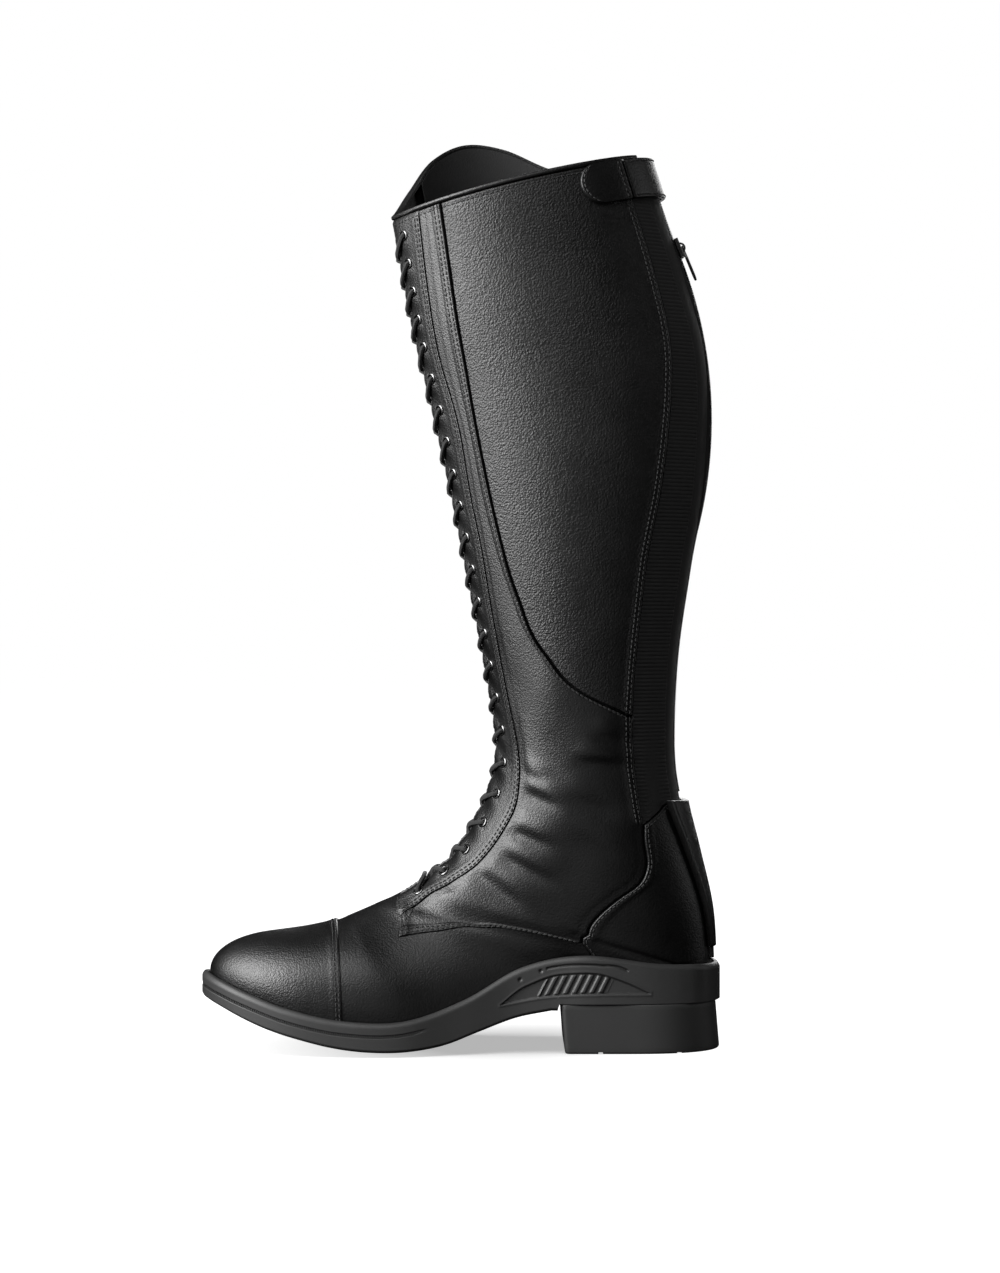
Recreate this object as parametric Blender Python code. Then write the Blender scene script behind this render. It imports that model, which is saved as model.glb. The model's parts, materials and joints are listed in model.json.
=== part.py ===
"""Tall laced riding boot for the right foot, built up from its cut panels, sole and fastenings.

The toe points to -X, the inner (medial) side faces -Y and Z is up. The origin is on the ground
under the middle of the heel. Sizes are in millimetres and become metres when a mesh is made.
"""
import math

import bmesh
import bpy
import numpy as np
from mathutils import Matrix, Vector

MM = 0.001
MERGE = 0.00001

# Sections of the last, from above the topline to the toe tip.
# Each row: front x, front z, end x, end z, half width. The end is the back line of the shaft
# down to the heel seat, and from there the feather line where the upper meets the sole.
SECTIONS = (
    (-151.0, 520.0, -16.0, 552.0, 43.0),
    (-139.5, 457.0, 4.0, 491.0, 43.5),
    (-129.0, 400.0, 24.5, 429.0, 44.0),
    (-119.0, 358.0, 37.5, 379.0, 44.0),
    (-106.5, 303.0, 36.5, 315.0, 43.0),
    (-97.5, 258.0, 28.5, 265.0, 41.5),
    (-88.5, 214.0, 21.5, 216.0, 40.0),
    (-81.5, 170.0, 19.5, 166.0, 39.0),
    (-84.5, 146.0, 23.0, 137.0, 38.5),
    (-93.5, 125.0, 30.0, 108.0, 38.0),
    (-105.5, 106.0, 37.0, 76.0, 37.0),
    (-118.0, 95.0, 39.0, 41.8, 35.5),
    (-128.0, 88.0, 31.0, 42.4, 34.5),
    (-137.0, 83.0, 8.0, 43.3, 33.0),
    (-144.0, 80.0, -32.0, 48.0, 32.0),
    (-150.0, 77.3, -66.0, 41.5, 32.0),
    (-156.0, 74.7, -98.0, 24.3, 38.0),
    (-162.0, 72.2, -130.0, 13.8, 45.0),
    (-168.0, 69.8, -162.0, 14.0, 45.0),
    (-182.0, 66.4, -190.0, 19.6, 40.5),
    (-190.0, 64.9, -212.0, 27.0, 31.0),
    (-194.5, 64.2, -226.5, 32.6, 19.5),
    (-197.0, 63.9, -234.0, 35.8, 9.0),
    (-198.0, 63.8, -236.5, 37.2, 0.0),
)
TOPLINE = 1.0
ANKLE = 7.0
HEEL_SEAT = 11
THROAT = 12.9
WAIST = 14.0
CAP_LINE = 18.0
TOE_TIP = 23.0
TOE_SWING = 5.0
SHAFT_SWEEP = 180.0
FOOT_SWEEP = 104.0
SWEEP_FALL = 1.05
SHAFT_NOSE = 1.45
NOSE_FADE = (5.0, 12.0)
SEAT_FLATTENING = 0.25
TOE_FAN = (16.5, 19.0)
LEAST_SINE = 0.3
SEAT_RISE = (10.6, 10.9)
SEAT_FALL = (12.8, 12.4)
SEAT_GIRTH = (0.55, 0.70)

# Seams drawn on the side elevation as x, z points.
FACING_SEAM = ((-122, 459), (-117, 417), (-109, 374), (-100, 342), (-93.5, 304), (-87, 272), (-80, 230),
               (-73, 193), (-67.5, 165), (-67, 147), (-69, 134), (-76, 120), (-88, 104), (-107, 90),
               (-122.5, 80), (-133, 73))
CALF_SEAM = ((-110, 461), (-99.5, 390), (-89.5, 334), (-79, 285), (-68.5, 249), (-53.5, 217),
             (-27.5, 192), (-8, 183))
ELASTIC_SEAM = ((-12, 486), (8, 421), (16, 379), (15, 348), (4, 277), (-2.5, 226), (-5.5, 180),
                (-5, 163), (-1.5, 133), (0.5, 123))
COUNTER_SEAM = ((0.5, 124), (0.6, 117), (2, 101), (-1.5, 93), (-12.5, 85), (-23.5, 76), (-30, 66.5),
                (-33.5, 60))
VAMP_SEAM = ((-33.5, 60), (-50.5, 64), (-67, 67), (-89, 68), (-110.5, 66), (-133, 62.5))

# The high curved top of the lateral side: height above the medial topline along the girth.
SPANISH_GIRTH = (0.0, 0.10, 0.20, 0.30, 0.40, 0.50, 0.60, 0.70, 0.80, 1.0)
SPANISH_RISE = (0.0, 3.0, 15.0, 30.0, 35.0, 28.0, 12.0, 1.5, 0.0, 0.0)
SECTION_PITCH = 62.0

# Grid rows between the corners of the panels, shared so that neighbouring edges follow each other.
CALF_ROWS = 10
ANKLE_ROWS = 3
COUNTER_ROWS = 8
WING_ROWS = 7
TAIL_ROWS = 4
VAMP_ROWS = 28
VAMP_WING = 14 / VAMP_ROWS
VAMP_NIB = 18 / VAMP_ROWS
SEAM_STEP = 0.03
NIB_STEP = 0.06
THROAT_EDGE = 13.15
QUARTER_FRONT = (6.4, 8.0, 11.2)
COUNTER_HEEL = 0.35
COUNTER_RISE = 0.44
UPPER_FOOT = 0.985
LINING_SEAM = 8.5
LINING_STEP = 0.25
LINING_GAP = 0.01
LINING_BACK = 9.0
LINING_FOOT = 0.87

# Leather layers: height of the outer face over the last, and thickness.
UPPER = (0.0, 1.5)
OVERLAY = (0.6, 2.1)
STIFFENER = (-2.7, 1.2)
STIFFENER_SPAN = (9.3, 10.92)
STIFFENER_HALF_WIDTH = 31.0
SHAFT_LINING = (-4.4, 1.0)
FOOT_LINING = (-4.8, 1.0)
TONGUE = (-7.4, 1.5)
TONGUE_FOOT = 13.3
TONGUE_REACH = 0.97
INSTEP_NORMAL = (-0.5, 0.0, 0.87)
GUARD = (3.8, 2.4)
GUARD_FOLD = (0.75, 1.0)
GUARD_FOLD_RISE = 0.5
BACK_TAB = (2.4, 1.2)
TAPE = (-1.0, 1.0)
CHAIN = (0.9, 2.2)
CHAIN_CROWN = 0.7
CHAIN_FOOT = 7.85
TAB = (2.9, 1.6)
STRAP_RISE = 1.6
STRAP_RISE_GIRTH = (-0.1, 0.2)
BINDING_HEIGHT = 2.4
BINDING = (0.6, 4.4)
CLEARANCE = 0.3
GIRTH_GAP = 0.003
SECTION_GAP = 0.015
BACK_SEAM_GAP = 1.2

# Lacing.
EYELETS = 23
EYELET_OUTER = 3.2
EYELET_HOLE = 2.1
EYELET_RIM = 0.7
EYELET_PLACE = 0.45
FACING_GAP = 12.0
FACING_RISE = 0.03
EYELET_HEAD = 9.0
EYELET_FOOT = 15.0
CLOSE_EYELETS = 4
CLOSE_PITCH = 0.87
LACE_RADIUS = 1.4
LACE_CLEARANCE = 0.6
LACE_CROSSING = 1.6
LACE_EDGE = -0.08
LACE_RISE = (0.36, 0.7)
LACE_UNDER = 0.2
LACE_MIDDLE = 0.6
INSTEP_ROW = 0.8
LACE_TAIL = 45.0
LACE_TUCK = ((0.3, 0.66), (1.0, 0.68))
LACE_TUCK_DEPTH = 0.2
BAR_STEP = 5.0
BAR_EDGE = 0.1

# Sole unit.
SOLE_TUCK = 5.0
SOLE_CLEARANCE = 1.2
LIP_REACH = 4.0
LIP_MARGIN = 1.0
LIP_GIRTH = (-1.0, -0.6)
SOLE_FLOOR_DROP = 1.0
LIP_WIDTH = 3.0
LIP_FALL = (0.6, 2.4)
WALL_FLARE = 0.8
SOLE_EDGE = 1.6
SOLE_BOTTOM_X = (-241, -225, -205, -185, -165, -147, -128, -108, -90, -70, -50)
SOLE_BOTTOM_Z = (31, 23.5, 15, 9, 4.5, 2.6, 2.8, 6, 12.5, 19.5, 23.5)
TREAD_CROWN = 2.6
HEEL_TOP = 26.6
HEEL_BREAST = (-44.5, -42.4)
BREAST_STEP = -46.0
BREAST_BAND = 0.4
HEEL_STATIONS = (11.0, 11.2, 11.5, 11.8, 12.2, 12.7, 13.2, 13.7)
FOOT_STATIONS = (15.0, 20.5, 12)
TOE_STATIONS = (21.0, 21.7, 22.4, 23.0)
HEEL_BACK = (41.7, 43.9)
HEEL_HALF_WIDTH = (37.0, 36.5)
HEEL_ROUND_FROM = -5.0
HEEL_ROUNDING = 0.85
HEEL_CORNER = 2.5
HEEL_EDGE = 1.2
HEEL_GROOVES = (-23.0, 20.0)
HEEL_GROOVE_SIZE = (3.0, 1.6)
BOARD_INSET = 11.0
BOARD_RISE = 2.2
BOARD_THICKNESS = 2.2
FOOTBED_THICKNESS = 4.0
SHANK_LENGTH = 100.0
SHANK_HEEL = 6.0
SHANK_WIDTH = 12.0
SHANK = (1.2, 0.8)

# Zip at the back.
ZIP_HALF_WIDTH = 18.5
CHAIN_HALF_WIDTH = 2.6
TAPE_INNER = 3.0
ZIP_ARC_CENTRE = (-208.5, 347.3)
ZIP_ARC_RADIUS = 247.4
ARC_RISE_LIMIT = 1.2
SLIDER_ANGLE = 22.5
SLIDER_LENGTH = 11.0
SLIDER_HALF_WIDTH = 5.2
SLIDER_SKIRT = 0.7
SLIDER_FLOOR = 1.6
SLIDER_ROOF = 2.8
SLIDER_CHAMFER = 0.6
SLIDER_FLANGE = 1.2
BRIDGE_SINK = 0.4
BRIDGE_INNER = 2.2
BRIDGE_OUTER = 3.1
BRIDGE_WIDTH = 1.4
PULL_PIVOT = 3.7
PULL_LENGTH = 20.0
PULL_HALF_WIDTH = 3.2
PULL_NECK = (6.5, 3.0, 2.7)
PULL_BAR = 1.1
PULL_THICKNESS = 1.0
PULL_EYE = (5.6, 1.7)
GUARD_SPAN = (8.03, 10.6)
GUARD_HALF_WIDTH = (24.0, 13.0)
BACK_TAB_SPAN = (10.62, 10.78)
BACK_TAB_HALF_WIDTH = 10.0

# Snap strap round the back of the topline.
STRAP_SPAN = (1.0, 1.34)
TAB_GIRTH = (0.64, 0.776)
STRAP_START = 0.781
STRAP_END = 0.70
STRAP_ROUNDING = 0.05
SNAP_GIRTH = 0.735
SNAP_SECTION = 1.17
SNAP_CAP = (6.5, 4.6, 1.6)
SNAP_STUD = (5.0, 3.4, 1.3)
SNAP_GAP = 0.45

SIDES = {"medial": -1, "lateral": 1}
SHARP_ANGLE = 40.0
EMPTY_SIZE = 20.0


def smoothstep(u):
    u = np.clip(u, 0.0, 1.0)
    return u * u * (3.0 - 2.0 * u)


def fade(u, start, end):
    """Smooth rise from 0 at start to 1 at end."""
    return smoothstep((u - start) / (end - start))


def smooth(knots, values):
    """Smooth curve through values at rising knots."""
    knots = np.asarray(knots, float)
    values = np.asarray(values, float)
    slopes = np.gradient(values, knots)

    def at(u):
        u = np.clip(np.asarray(u, float), knots[0], knots[-1])
        i = np.clip(np.searchsorted(knots, u, side="right") - 1, 0, len(knots) - 2)
        span = knots[i + 1] - knots[i]
        f = (u - knots[i]) / span
        start = (1 + 2 * f) * (1 - f) ** 2 * values[i] + f * (1 - f) ** 2 * span * slopes[i]
        end = f * f * (3 - 2 * f) * values[i + 1] + f * f * (f - 1) * span * slopes[i + 1]
        return start + end

    return at


def kinked(values, corner):
    """Smooth curve with a corner at one of its section numbers."""
    before = smooth(np.arange(corner + 1), values[:corner + 1])
    after = smooth(np.arange(corner, len(values)), values[corner:])
    return lambda s: np.where(np.asarray(s) < corner, before(s), after(s))


FRONT_X, FRONT_Z, HALF = (smooth(range(len(SECTIONS)), [row[i] for row in SECTIONS]) for i in (0, 1, 4))
END_X, END_Z = (kinked([row[i] for row in SECTIONS], HEEL_SEAT) for i in (2, 3))


def sweep(s):
    """Angle that a half section turns through, half a turn on the shaft and less on the foot."""
    past = np.maximum(s - HEEL_SEAT, 0.0) / SWEEP_FALL
    return np.radians(FOOT_SWEEP + (SHAFT_SWEEP - FOOT_SWEEP) / (1.0 + past ** 2))


def nose(s):
    return SHAFT_NOSE - (SHAFT_NOSE - 1.0) * fade(s, *NOSE_FADE)


def seat(s):
    return 1.0 - SEAT_FLATTENING * (fade(s, ANKLE, HEEL_SEAT) - fade(s, HEEL_SEAT, WAIST))


def swing_at(s):
    """Sideways turn of the forefoot towards the inner side."""
    return TOE_SWING * np.clip((s - WAIST) / (TOE_TIP - WAIST), 0.0, 1.0) ** 2


def last(s, w):
    """Point of the last: s is the section number, w runs from -1 (medial end) by the front to 1."""
    s, w = np.broadcast_arrays(np.clip(s, 0.0, TOE_TIP), np.asarray(w, float))
    turn = sweep(s)
    angle = np.abs(w) * turn
    fan = fade(s, *TOE_FAN)
    front_x, front_z, end_x, end_z = FRONT_X(s), FRONT_Z(s), END_X(s), END_Z(s)
    reach = 1.0 - np.cos(turn)
    drop = (1.0 - np.cos(angle)) / reach
    bulge = np.clip(np.sin(angle), 0.0, 1.0) ** np.where(angle < math.pi / 2, nose(s), seat(s))
    fanned = bulge / np.maximum(np.sin(turn), LEAST_SINE)
    x = front_x + (end_x - front_x) * mix(drop, fanned, fan)
    y = np.sign(w) * np.maximum(HALF(s), 0.0) * bulge
    return np.stack([x, y - swing_at(s), front_z + (end_z - front_z) * drop], -1)


def unit(vectors):
    return vectors / np.linalg.norm(vectors, axis=-1, keepdims=True)


def mix(a, b, f):
    return a + (b - a) * f


def surface(s, w, lift=0.0):
    """Point at a height over the last, along its outward normal."""
    s, w = np.broadcast_arrays(np.asarray(s, float), np.asarray(w, float))
    step = 0.004
    inside = np.minimum(s, TOE_TIP - 3 * step)
    along = last(inside + step, w) - last(inside - step, w)
    across = last(inside, np.minimum(w + step, 1.0)) - last(inside, np.maximum(w - step, -1.0))
    normal = unit(np.cross(across, along))
    level = unit(np.stack([-across[..., 1], across[..., 0], 0.0 * s], -1))
    seat_zone = fade(s, *SEAT_RISE) * fade(s, *SEAT_FALL) * fade(np.abs(w), *SEAT_GIRTH)
    normal = unit(mix(normal, level, seat_zone[..., None]))
    normal[..., 1] = np.where(s < TOE_TIP, normal[..., 1], 0.0)
    return last(s, w) + unit(normal) * np.asarray(lift, float)[..., None]


def locate(x, z):
    """Section number and girth fraction of a side elevation point."""
    s, t = np.meshgrid(np.linspace(0, TOE_TIP, 231), np.linspace(0, 1, 101), indexing="ij")
    grid = last(s, t)
    nearest = np.argmin((grid[..., 0] - x) ** 2 + (grid[..., 2] - z) ** 2)
    s, t = s.flat[nearest], t.flat[nearest]
    step = 0.0001
    for _ in range(20):
        here = last(s, t)[[0, 2]]
        slopes = np.stack([last(s + step, t)[[0, 2]] - here, last(s, t + step)[[0, 2]] - here], -1) / step
        move = np.clip(np.linalg.solve(slopes, np.array([x, z]) - here), -0.2, 0.2)
        s, t = s + move[0], t + move[1]
    return s, t


def seam(points):
    """Girth fraction of a seam as a smooth function of the section number."""
    return smooth(*np.array([locate(x, z) for x, z in points]).T)


facing_seam = seam(FACING_SEAM)
calf_seam = seam(CALF_SEAM)
elastic_seam = seam(ELASTIC_SEAM)
counter_seam = seam(COUNTER_SEAM)
vamp_seam = seam(VAMP_SEAM)
spanish = smooth(SPANISH_GIRTH, SPANISH_RISE)
FACING_FOOT = locate(*FACING_SEAM[-1])[0]
CALF_FOOT = locate(*CALF_SEAM[-1])[0]
COUNTER_HEAD = locate(*COUNTER_SEAM[0])[0]
VAMP_TAIL = locate(*VAMP_SEAM[0])[0]
VAMP_CORNER = locate(*VAMP_SEAM[-1])[0]


def even_rows(curve, start, end):
    """Section number at even steps along a seam, as a function of the fraction of its length."""
    s = np.linspace(start, end, 201)
    path = last(s, curve(s))
    run = np.concatenate([[0.0], np.cumsum(np.linalg.norm(np.diff(path, axis=0), axis=-1))])
    return lambda q: np.interp(np.asarray(q) * run[-1], run, s)


calf_rows = even_rows(calf_seam, TOPLINE, CALF_FOOT)


def calf_section(q, side):
    """Section number along the calf seam, from the topline of one side down to its foot."""
    head = top_section(calf_seam(TOPLINE), side) + SECTION_GAP
    return mix(head, CALF_FOOT, (calf_rows(q) - TOPLINE) / (CALF_FOOT - TOPLINE))


def front_girth(s, y):
    """Girth fraction at a distance y from the front line."""
    return np.arcsin(np.clip(y / HALF(s), 0.0, 1.0) ** (1.0 / nose(s))) / sweep(s)


def back_girth(s, y):
    """Girth fraction at a distance y from the back line of the shaft or heel."""
    return 1.0 - np.arcsin(np.clip(y / HALF(s), 0.0, 1.0) ** (1.0 / seat(s))) / math.pi


def top_section(t, side):
    """Section number of the topline."""
    rise = np.maximum(spanish(t), 0.0) if side > 0 else 0.0 * t
    return TOPLINE - rise / SECTION_PITCH


def counter_head(t):
    """Section number of the counter's top edge, rising to the back."""
    front = counter_seam(COUNTER_HEAD)
    return COUNTER_HEAD - COUNTER_RISE * (t - front) / (1.0 - front)


def clear_scene():
    for item in list(bpy.data.objects):
        bpy.data.objects.remove(item, do_unlink=True)


def new_collection(name):
    collection = bpy.data.collections.new(name)
    bpy.context.scene.collection.children.link(collection)
    return collection


def material(name, colour, roughness, metallic=0.0):
    made = bpy.data.materials.new(name)
    made.use_nodes = True
    shader = made.node_tree.nodes["Principled BSDF"]
    shader.inputs["Base Color"].default_value = (*colour, 1.0)
    shader.inputs["Roughness"].default_value = roughness
    shader.inputs["Metallic"].default_value = metallic
    return made


def add_mesh(name, bm, finish, collection):
    mesh = bpy.data.meshes.new(name)
    bm.to_mesh(mesh)
    bm.free()
    mesh.materials.append(finish)
    mesh.shade_smooth()
    mesh.set_sharp_from_angle(angle=math.radians(SHARP_ANGLE))
    made = bpy.data.objects.new(name, mesh)
    collection.objects.link(made)
    return made


def close_edges(bm):
    """Join the borders of a panel's two faces into one closed body."""
    bmesh.ops.remove_doubles(bm, verts=bm.verts, dist=MERGE)
    bmesh.ops.bridge_loops(bm, edges=[edge for edge in bm.edges if edge.is_boundary])
    bmesh.ops.recalc_face_normals(bm, faces=bm.faces)


def sheet(name, wrap, columns, rows, layer, finish):
    """Panel of one layer: its two faces are grids laid on the last by wrap(p, q, lift), then bridged."""
    lift, thickness = layer
    bm = bmesh.new()
    for level in (lift, lift - thickness):
        verts = bmesh.ops.create_grid(bm, x_segments=columns, y_segments=rows, size=0.5)["verts"]
        flat = np.array([vert.co for vert in verts]) + 0.5
        for vert, place in zip(verts, wrap(flat[:, 0], flat[:, 1], level)):
            vert.co = place * MM
    close_edges(bm)
    return add_mesh(name, bm, finish, BOOT)


def loft(name, lines, finish):
    """Closed solid between lines that run from heel to toe and meet at both ends."""
    bm = bmesh.new()
    grid = [[bm.verts.new(point * MM) for point in line] for line in lines]
    for line, following in zip(grid, grid[1:] + grid[:1]):
        for i in range(len(line) - 1):
            bm.faces.new((line[i], line[i + 1], following[i + 1], following[i]))
    bmesh.ops.remove_doubles(bm, verts=bm.verts, dist=MERGE)
    bmesh.ops.dissolve_degenerate(bm, edges=bm.edges, dist=MERGE)
    if bm.calc_volume(signed=True) < 0:
        bmesh.ops.reverse_faces(bm, faces=bm.faces)
    return add_mesh(name, bm, finish, BOOT)


def round_offsets(wrap, p, q, radius, count):
    """Pattern places on a circle round a place of a panel."""
    step = 0.001
    here = wrap(p, q, 0.0)
    slopes = np.stack([wrap(p + step, q, 0.0) - here, wrap(p, q + step, 0.0) - here], -1) / step
    first = unit(slopes[:, 0])
    second = unit(slopes[:, 1] - first * (slopes[:, 1] @ first))
    turns = np.arange(count) * math.tau / count
    circle = radius * (np.outer(first, np.cos(turns)) + np.outer(second, np.sin(turns)))
    return np.linalg.lstsq(slopes, circle, rcond=None)[0].T + (p, q)


def outline_mesh(name, outlines, depth):
    """Mesh of a filled flat outline with holes, extruded by a depth about its plane."""
    curve = bpy.data.curves.new(name, "CURVE")
    curve.dimensions = "2D"
    curve.fill_mode = "BOTH"
    curve.extrude = depth / 2 * MM
    for outline in outlines:
        spline = curve.splines.new("POLY")
        spline.points.add(len(outline) - 1)
        for point, (x, y) in zip(spline.points, outline):
            point.co = (x * MM, y * MM, 0.0, 1.0)
        spline.use_cyclic_u = True
    flat = bpy.data.objects.new(name, curve)
    BOOT.objects.link(flat)
    bpy.context.view_layer.update()
    evaluated = flat.evaluated_get(bpy.context.evaluated_depsgraph_get())
    mesh = bpy.data.meshes.new_from_object(evaluated)
    bpy.data.objects.remove(flat)
    bm = bmesh.new()
    bm.from_mesh(mesh)
    bpy.data.meshes.remove(mesh)
    bmesh.ops.remove_doubles(bm, verts=bm.verts, dist=MERGE)
    bmesh.ops.recalc_face_normals(bm, faces=bm.faces)
    return bm


def arc(centre, radius, start, end, count):
    turns = np.radians(np.linspace(start, end, count))
    return [(centre[0] + radius * math.cos(a), centre[1] + radius * math.sin(a)) for a in turns]


def hang(child, empty):
    """Parent a piece to the empty on its joint axis, where it already is."""
    child.parent = empty
    child.matrix_parent_inverse = Matrix.Translation(-empty.location)


def axis_empty(name, place, direction):
    empty = bpy.data.objects.new(name, None)
    empty.location = Vector(place) * MM
    empty.empty_display_size = EMPTY_SIZE * MM
    empty["axis"] = list(direction)
    BOOT.objects.link(empty)
    return empty


def make_toe_cap():
    def wrap(p, q, lift):
        s = mix(CAP_LINE + SEAM_STEP, TOE_TIP, q)
        return surface(s, mix(-UPPER_FOOT, UPPER_FOOT, p), lift)

    sheet("toe_cap", wrap, 13, 8, OVERLAY, LEATHER)


def make_toe_puff():
    def wrap(p, q, lift):
        s = mix(CAP_LINE + LINING_STEP, TOE_TIP - LINING_STEP, q)
        return surface(s, mix(-LINING_FOOT, LINING_FOOT, p), lift)

    sheet("toe_puff", wrap, 10, 6, STIFFENER, BOARD)


def vamp_rows(p, q):
    """Vamp pattern: q runs from one wing's tail by the throat to the other, p from its top edge down."""
    half = 1.0 - np.abs(2.0 * q - 1.0)
    wing = np.clip(half / VAMP_WING, 0.0, 1.0)
    nib = np.clip((half - VAMP_WING) / (VAMP_NIB - VAMP_WING), 0.0, 1.0)
    throat = np.clip((half - VAMP_NIB) / (1.0 - VAMP_NIB), 0.0, 1.0)
    corner, foot = VAMP_CORNER + NIB_STEP, FACING_FOOT + NIB_STEP
    edge_s = np.where(half < VAMP_WING, mix(VAMP_TAIL, corner, wing),
                      np.where(half < VAMP_NIB, mix(corner, foot, nib), mix(foot, THROAT_EDGE, throat)))
    corner_t = vamp_seam(VAMP_CORNER) + GIRTH_GAP
    foot_t = facing_seam(FACING_FOOT) + GIRTH_GAP
    edge_t = np.where(half < VAMP_WING, vamp_seam(edge_s) + GIRTH_GAP,
                      np.where(half < VAMP_NIB, mix(corner_t, foot_t, nib), mix(foot_t, 0.0, throat)))
    front = CAP_LINE - SECTION_GAP
    base_s = mix(WAIST + SEAM_STEP, front, wing)
    base_t = mix(UPPER_FOOT, 0.0, np.clip((half - VAMP_WING) / (1.0 - VAMP_WING), 0.0, 1.0))
    side = np.where(q < 0.5, -1.0, 1.0)
    return mix(edge_s, base_s, p), side * mix(edge_t, base_t, p)


def make_vamp():
    def wrap(p, q, lift):
        s, w = vamp_rows(p, q)
        return surface(s, w, lift)

    sheet("vamp", wrap, TAIL_ROWS, VAMP_ROWS, UPPER, LEATHER)


def make_vamp_lining():
    def wrap(p, q, lift):
        s = mix(THROAT + 2 * LINING_STEP, TOE_TIP - 2 * LINING_STEP, q)
        return surface(s, mix(-LINING_FOOT, LINING_FOOT, p), lift)

    sheet("vamp_lining", wrap, 10, 9, FOOT_LINING, LINING)


def quarter_edge(s):
    """Rear and lower edge of the quarter: calf seam, elastic seam, counter edge, then vamp seam."""
    upper = np.where(s < CALF_FOOT, calf_seam(s), elastic_seam(s))
    lower = np.where(s < VAMP_TAIL, counter_seam(s), vamp_seam(s))
    return np.where(s < COUNTER_HEAD, upper, lower)


def make_quarter(name, side):
    rows = np.cumsum([0, CALF_ROWS, ANKLE_ROWS, COUNTER_ROWS, WING_ROWS])
    rungs = rows / rows[-1]
    top = float(top_section(facing_seam(TOPLINE), side)) + SECTION_GAP
    front_s = (top, *QUARTER_FRONT, FACING_FOOT)
    rear_s = (0.0, CALF_FOOT, COUNTER_HEAD, VAMP_TAIL, VAMP_CORNER)

    def wrap(p, q, lift):
        front = np.interp(q, rungs, front_s)
        rear = np.where(q < rungs[1], calf_section(q / rungs[1], side), np.interp(q, rungs, rear_s))
        t = mix(facing_seam(front) + 2 * GIRTH_GAP, quarter_edge(rear) - GIRTH_GAP, p)
        return surface(mix(front, rear, p), side * t, lift)

    sheet("quarter_" + name, wrap, 5, rows[-1], UPPER, LEATHER)


def make_quarter_lining(name, side):
    def wrap(p, q, lift):
        s = mix(LINING_SEAM + LINING_STEP, THROAT + LINING_STEP, q)
        rear = np.where(s < HEEL_SEAT, back_girth(np.minimum(s, HEEL_SEAT), LINING_BACK), LINING_FOOT)
        return surface(s, side * mix(facing_seam(s) + LINING_GAP, rear, p), lift)

    sheet("quarter_lining_" + name, wrap, 6, 10, FOOT_LINING, LINING)


def facing_edge(s):
    return front_girth(s, FACING_GAP / 2)


def facing_place(side):
    """Wrap for a facing: p runs from its front edge to its seam, q evenly down its length."""
    edge_rows = even_rows(facing_edge, TOPLINE + SEAM_STEP, THROAT)
    seam_rows = even_rows(facing_seam, TOPLINE + SEAM_STEP, FACING_FOOT)

    def place(p, q, lift):
        edge, rear = edge_rows(q), seam_rows(q)
        t = mix(facing_edge(edge), facing_seam(rear) - GIRTH_GAP, p)
        lead = smoothstep(1.0 - np.asarray(q) / FACING_RISE) if side > 0 else 0.0
        s = mix(edge, rear, p) + lead * (top_section(t, side) - TOPLINE)
        return surface(s, side * t, OVERLAY[0] + lift)

    rows = place(EYELET_PLACE, np.linspace(0.0, 1.0, 201), 0.0)
    return place, float(np.linalg.norm(np.diff(rows, axis=0), axis=-1).sum())


def eyelet_rows(length):
    """Eyelet places along the facing as fractions of its length, a little closer at the top."""
    steps = np.where(np.arange(EYELETS - 1) < CLOSE_EYELETS, CLOSE_PITCH, 1.0)
    run = np.concatenate([[0.0], np.cumsum(steps)]) / steps.sum()
    return mix(EYELET_HEAD / length, 1.0 - EYELET_FOOT / length, run)


def make_facing(name, side):
    """Row of cells, each a patch round one eyelet hole with a raised rim, on both faces."""
    place, length = facing_place(side)
    border = ((1, 0.5), (1, 1), (0.5, 1), (0, 1), (0, 0.5), (0, 0), (0.5, 0), (1, 0))
    centres = eyelet_rows(length)
    ends = np.concatenate([[0.0], (centres[1:] + centres[:-1]) / 2, [1.0]])
    bm = bmesh.new()
    for centre, low, high in zip(centres, ends, ends[1:]):
        frame = [(p, mix(low, high, q)) for p, q in border]
        rim, hole = (round_offsets(place, EYELET_PLACE, centre, radius, len(border))
                     for radius in (EYELET_OUTER, EYELET_HOLE))
        rings = ((frame, 0.0), (rim, 0.0), (hole, EYELET_RIM), (hole, -OVERLAY[1]), (frame, -OVERLAY[1]))
        made = [[bm.verts.new(place(p, q, lift) * MM) for p, q in ring] for ring, lift in rings]
        for outer, inner in zip(made, made[1:]):
            for i in range(len(border)):
                bm.faces.new((outer[i - 1], outer[i], inner[i], inner[i - 1]))
    close_edges(bm)
    add_mesh("facing_" + name, bm, LEATHER, BOOT)


def make_calf_panel(name, side):
    ends = [top_section(curve(TOPLINE), side) for curve in (calf_seam, elastic_seam)]

    def wrap(p, q, lift):
        head = mix(calf_seam(TOPLINE), elastic_seam(TOPLINE), p)
        front = calf_section(q, side)
        rear = mix(top_section(elastic_seam(TOPLINE), side) + SECTION_GAP, CALF_FOOT, q)
        t = mix(calf_seam(front) + GIRTH_GAP, elastic_seam(rear) - GIRTH_GAP, p)
        level = mix(front, rear, p) + (1.0 - q) ** 2 * (top_section(head, side) - mix(*ends, p))
        return surface(level - SEAM_STEP * q, side * t, lift)

    sheet("calf_panel_" + name, wrap, 6, CALF_ROWS, UPPER, CALF)


def make_shaft_lining(name, side):
    def wrap(p, q, lift):
        head = mix(facing_seam(TOPLINE), elastic_seam(TOPLINE), p)
        s = mix(top_section(head, side) + 2 * SECTION_GAP, LINING_SEAM, q)
        t = mix(facing_seam(s) + LINING_GAP, elastic_seam(s) - LINING_GAP, p)
        return surface(s, side * t, lift)

    sheet("shaft_lining_" + name, wrap, 5, 12, SHAFT_LINING, LINING)


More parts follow.
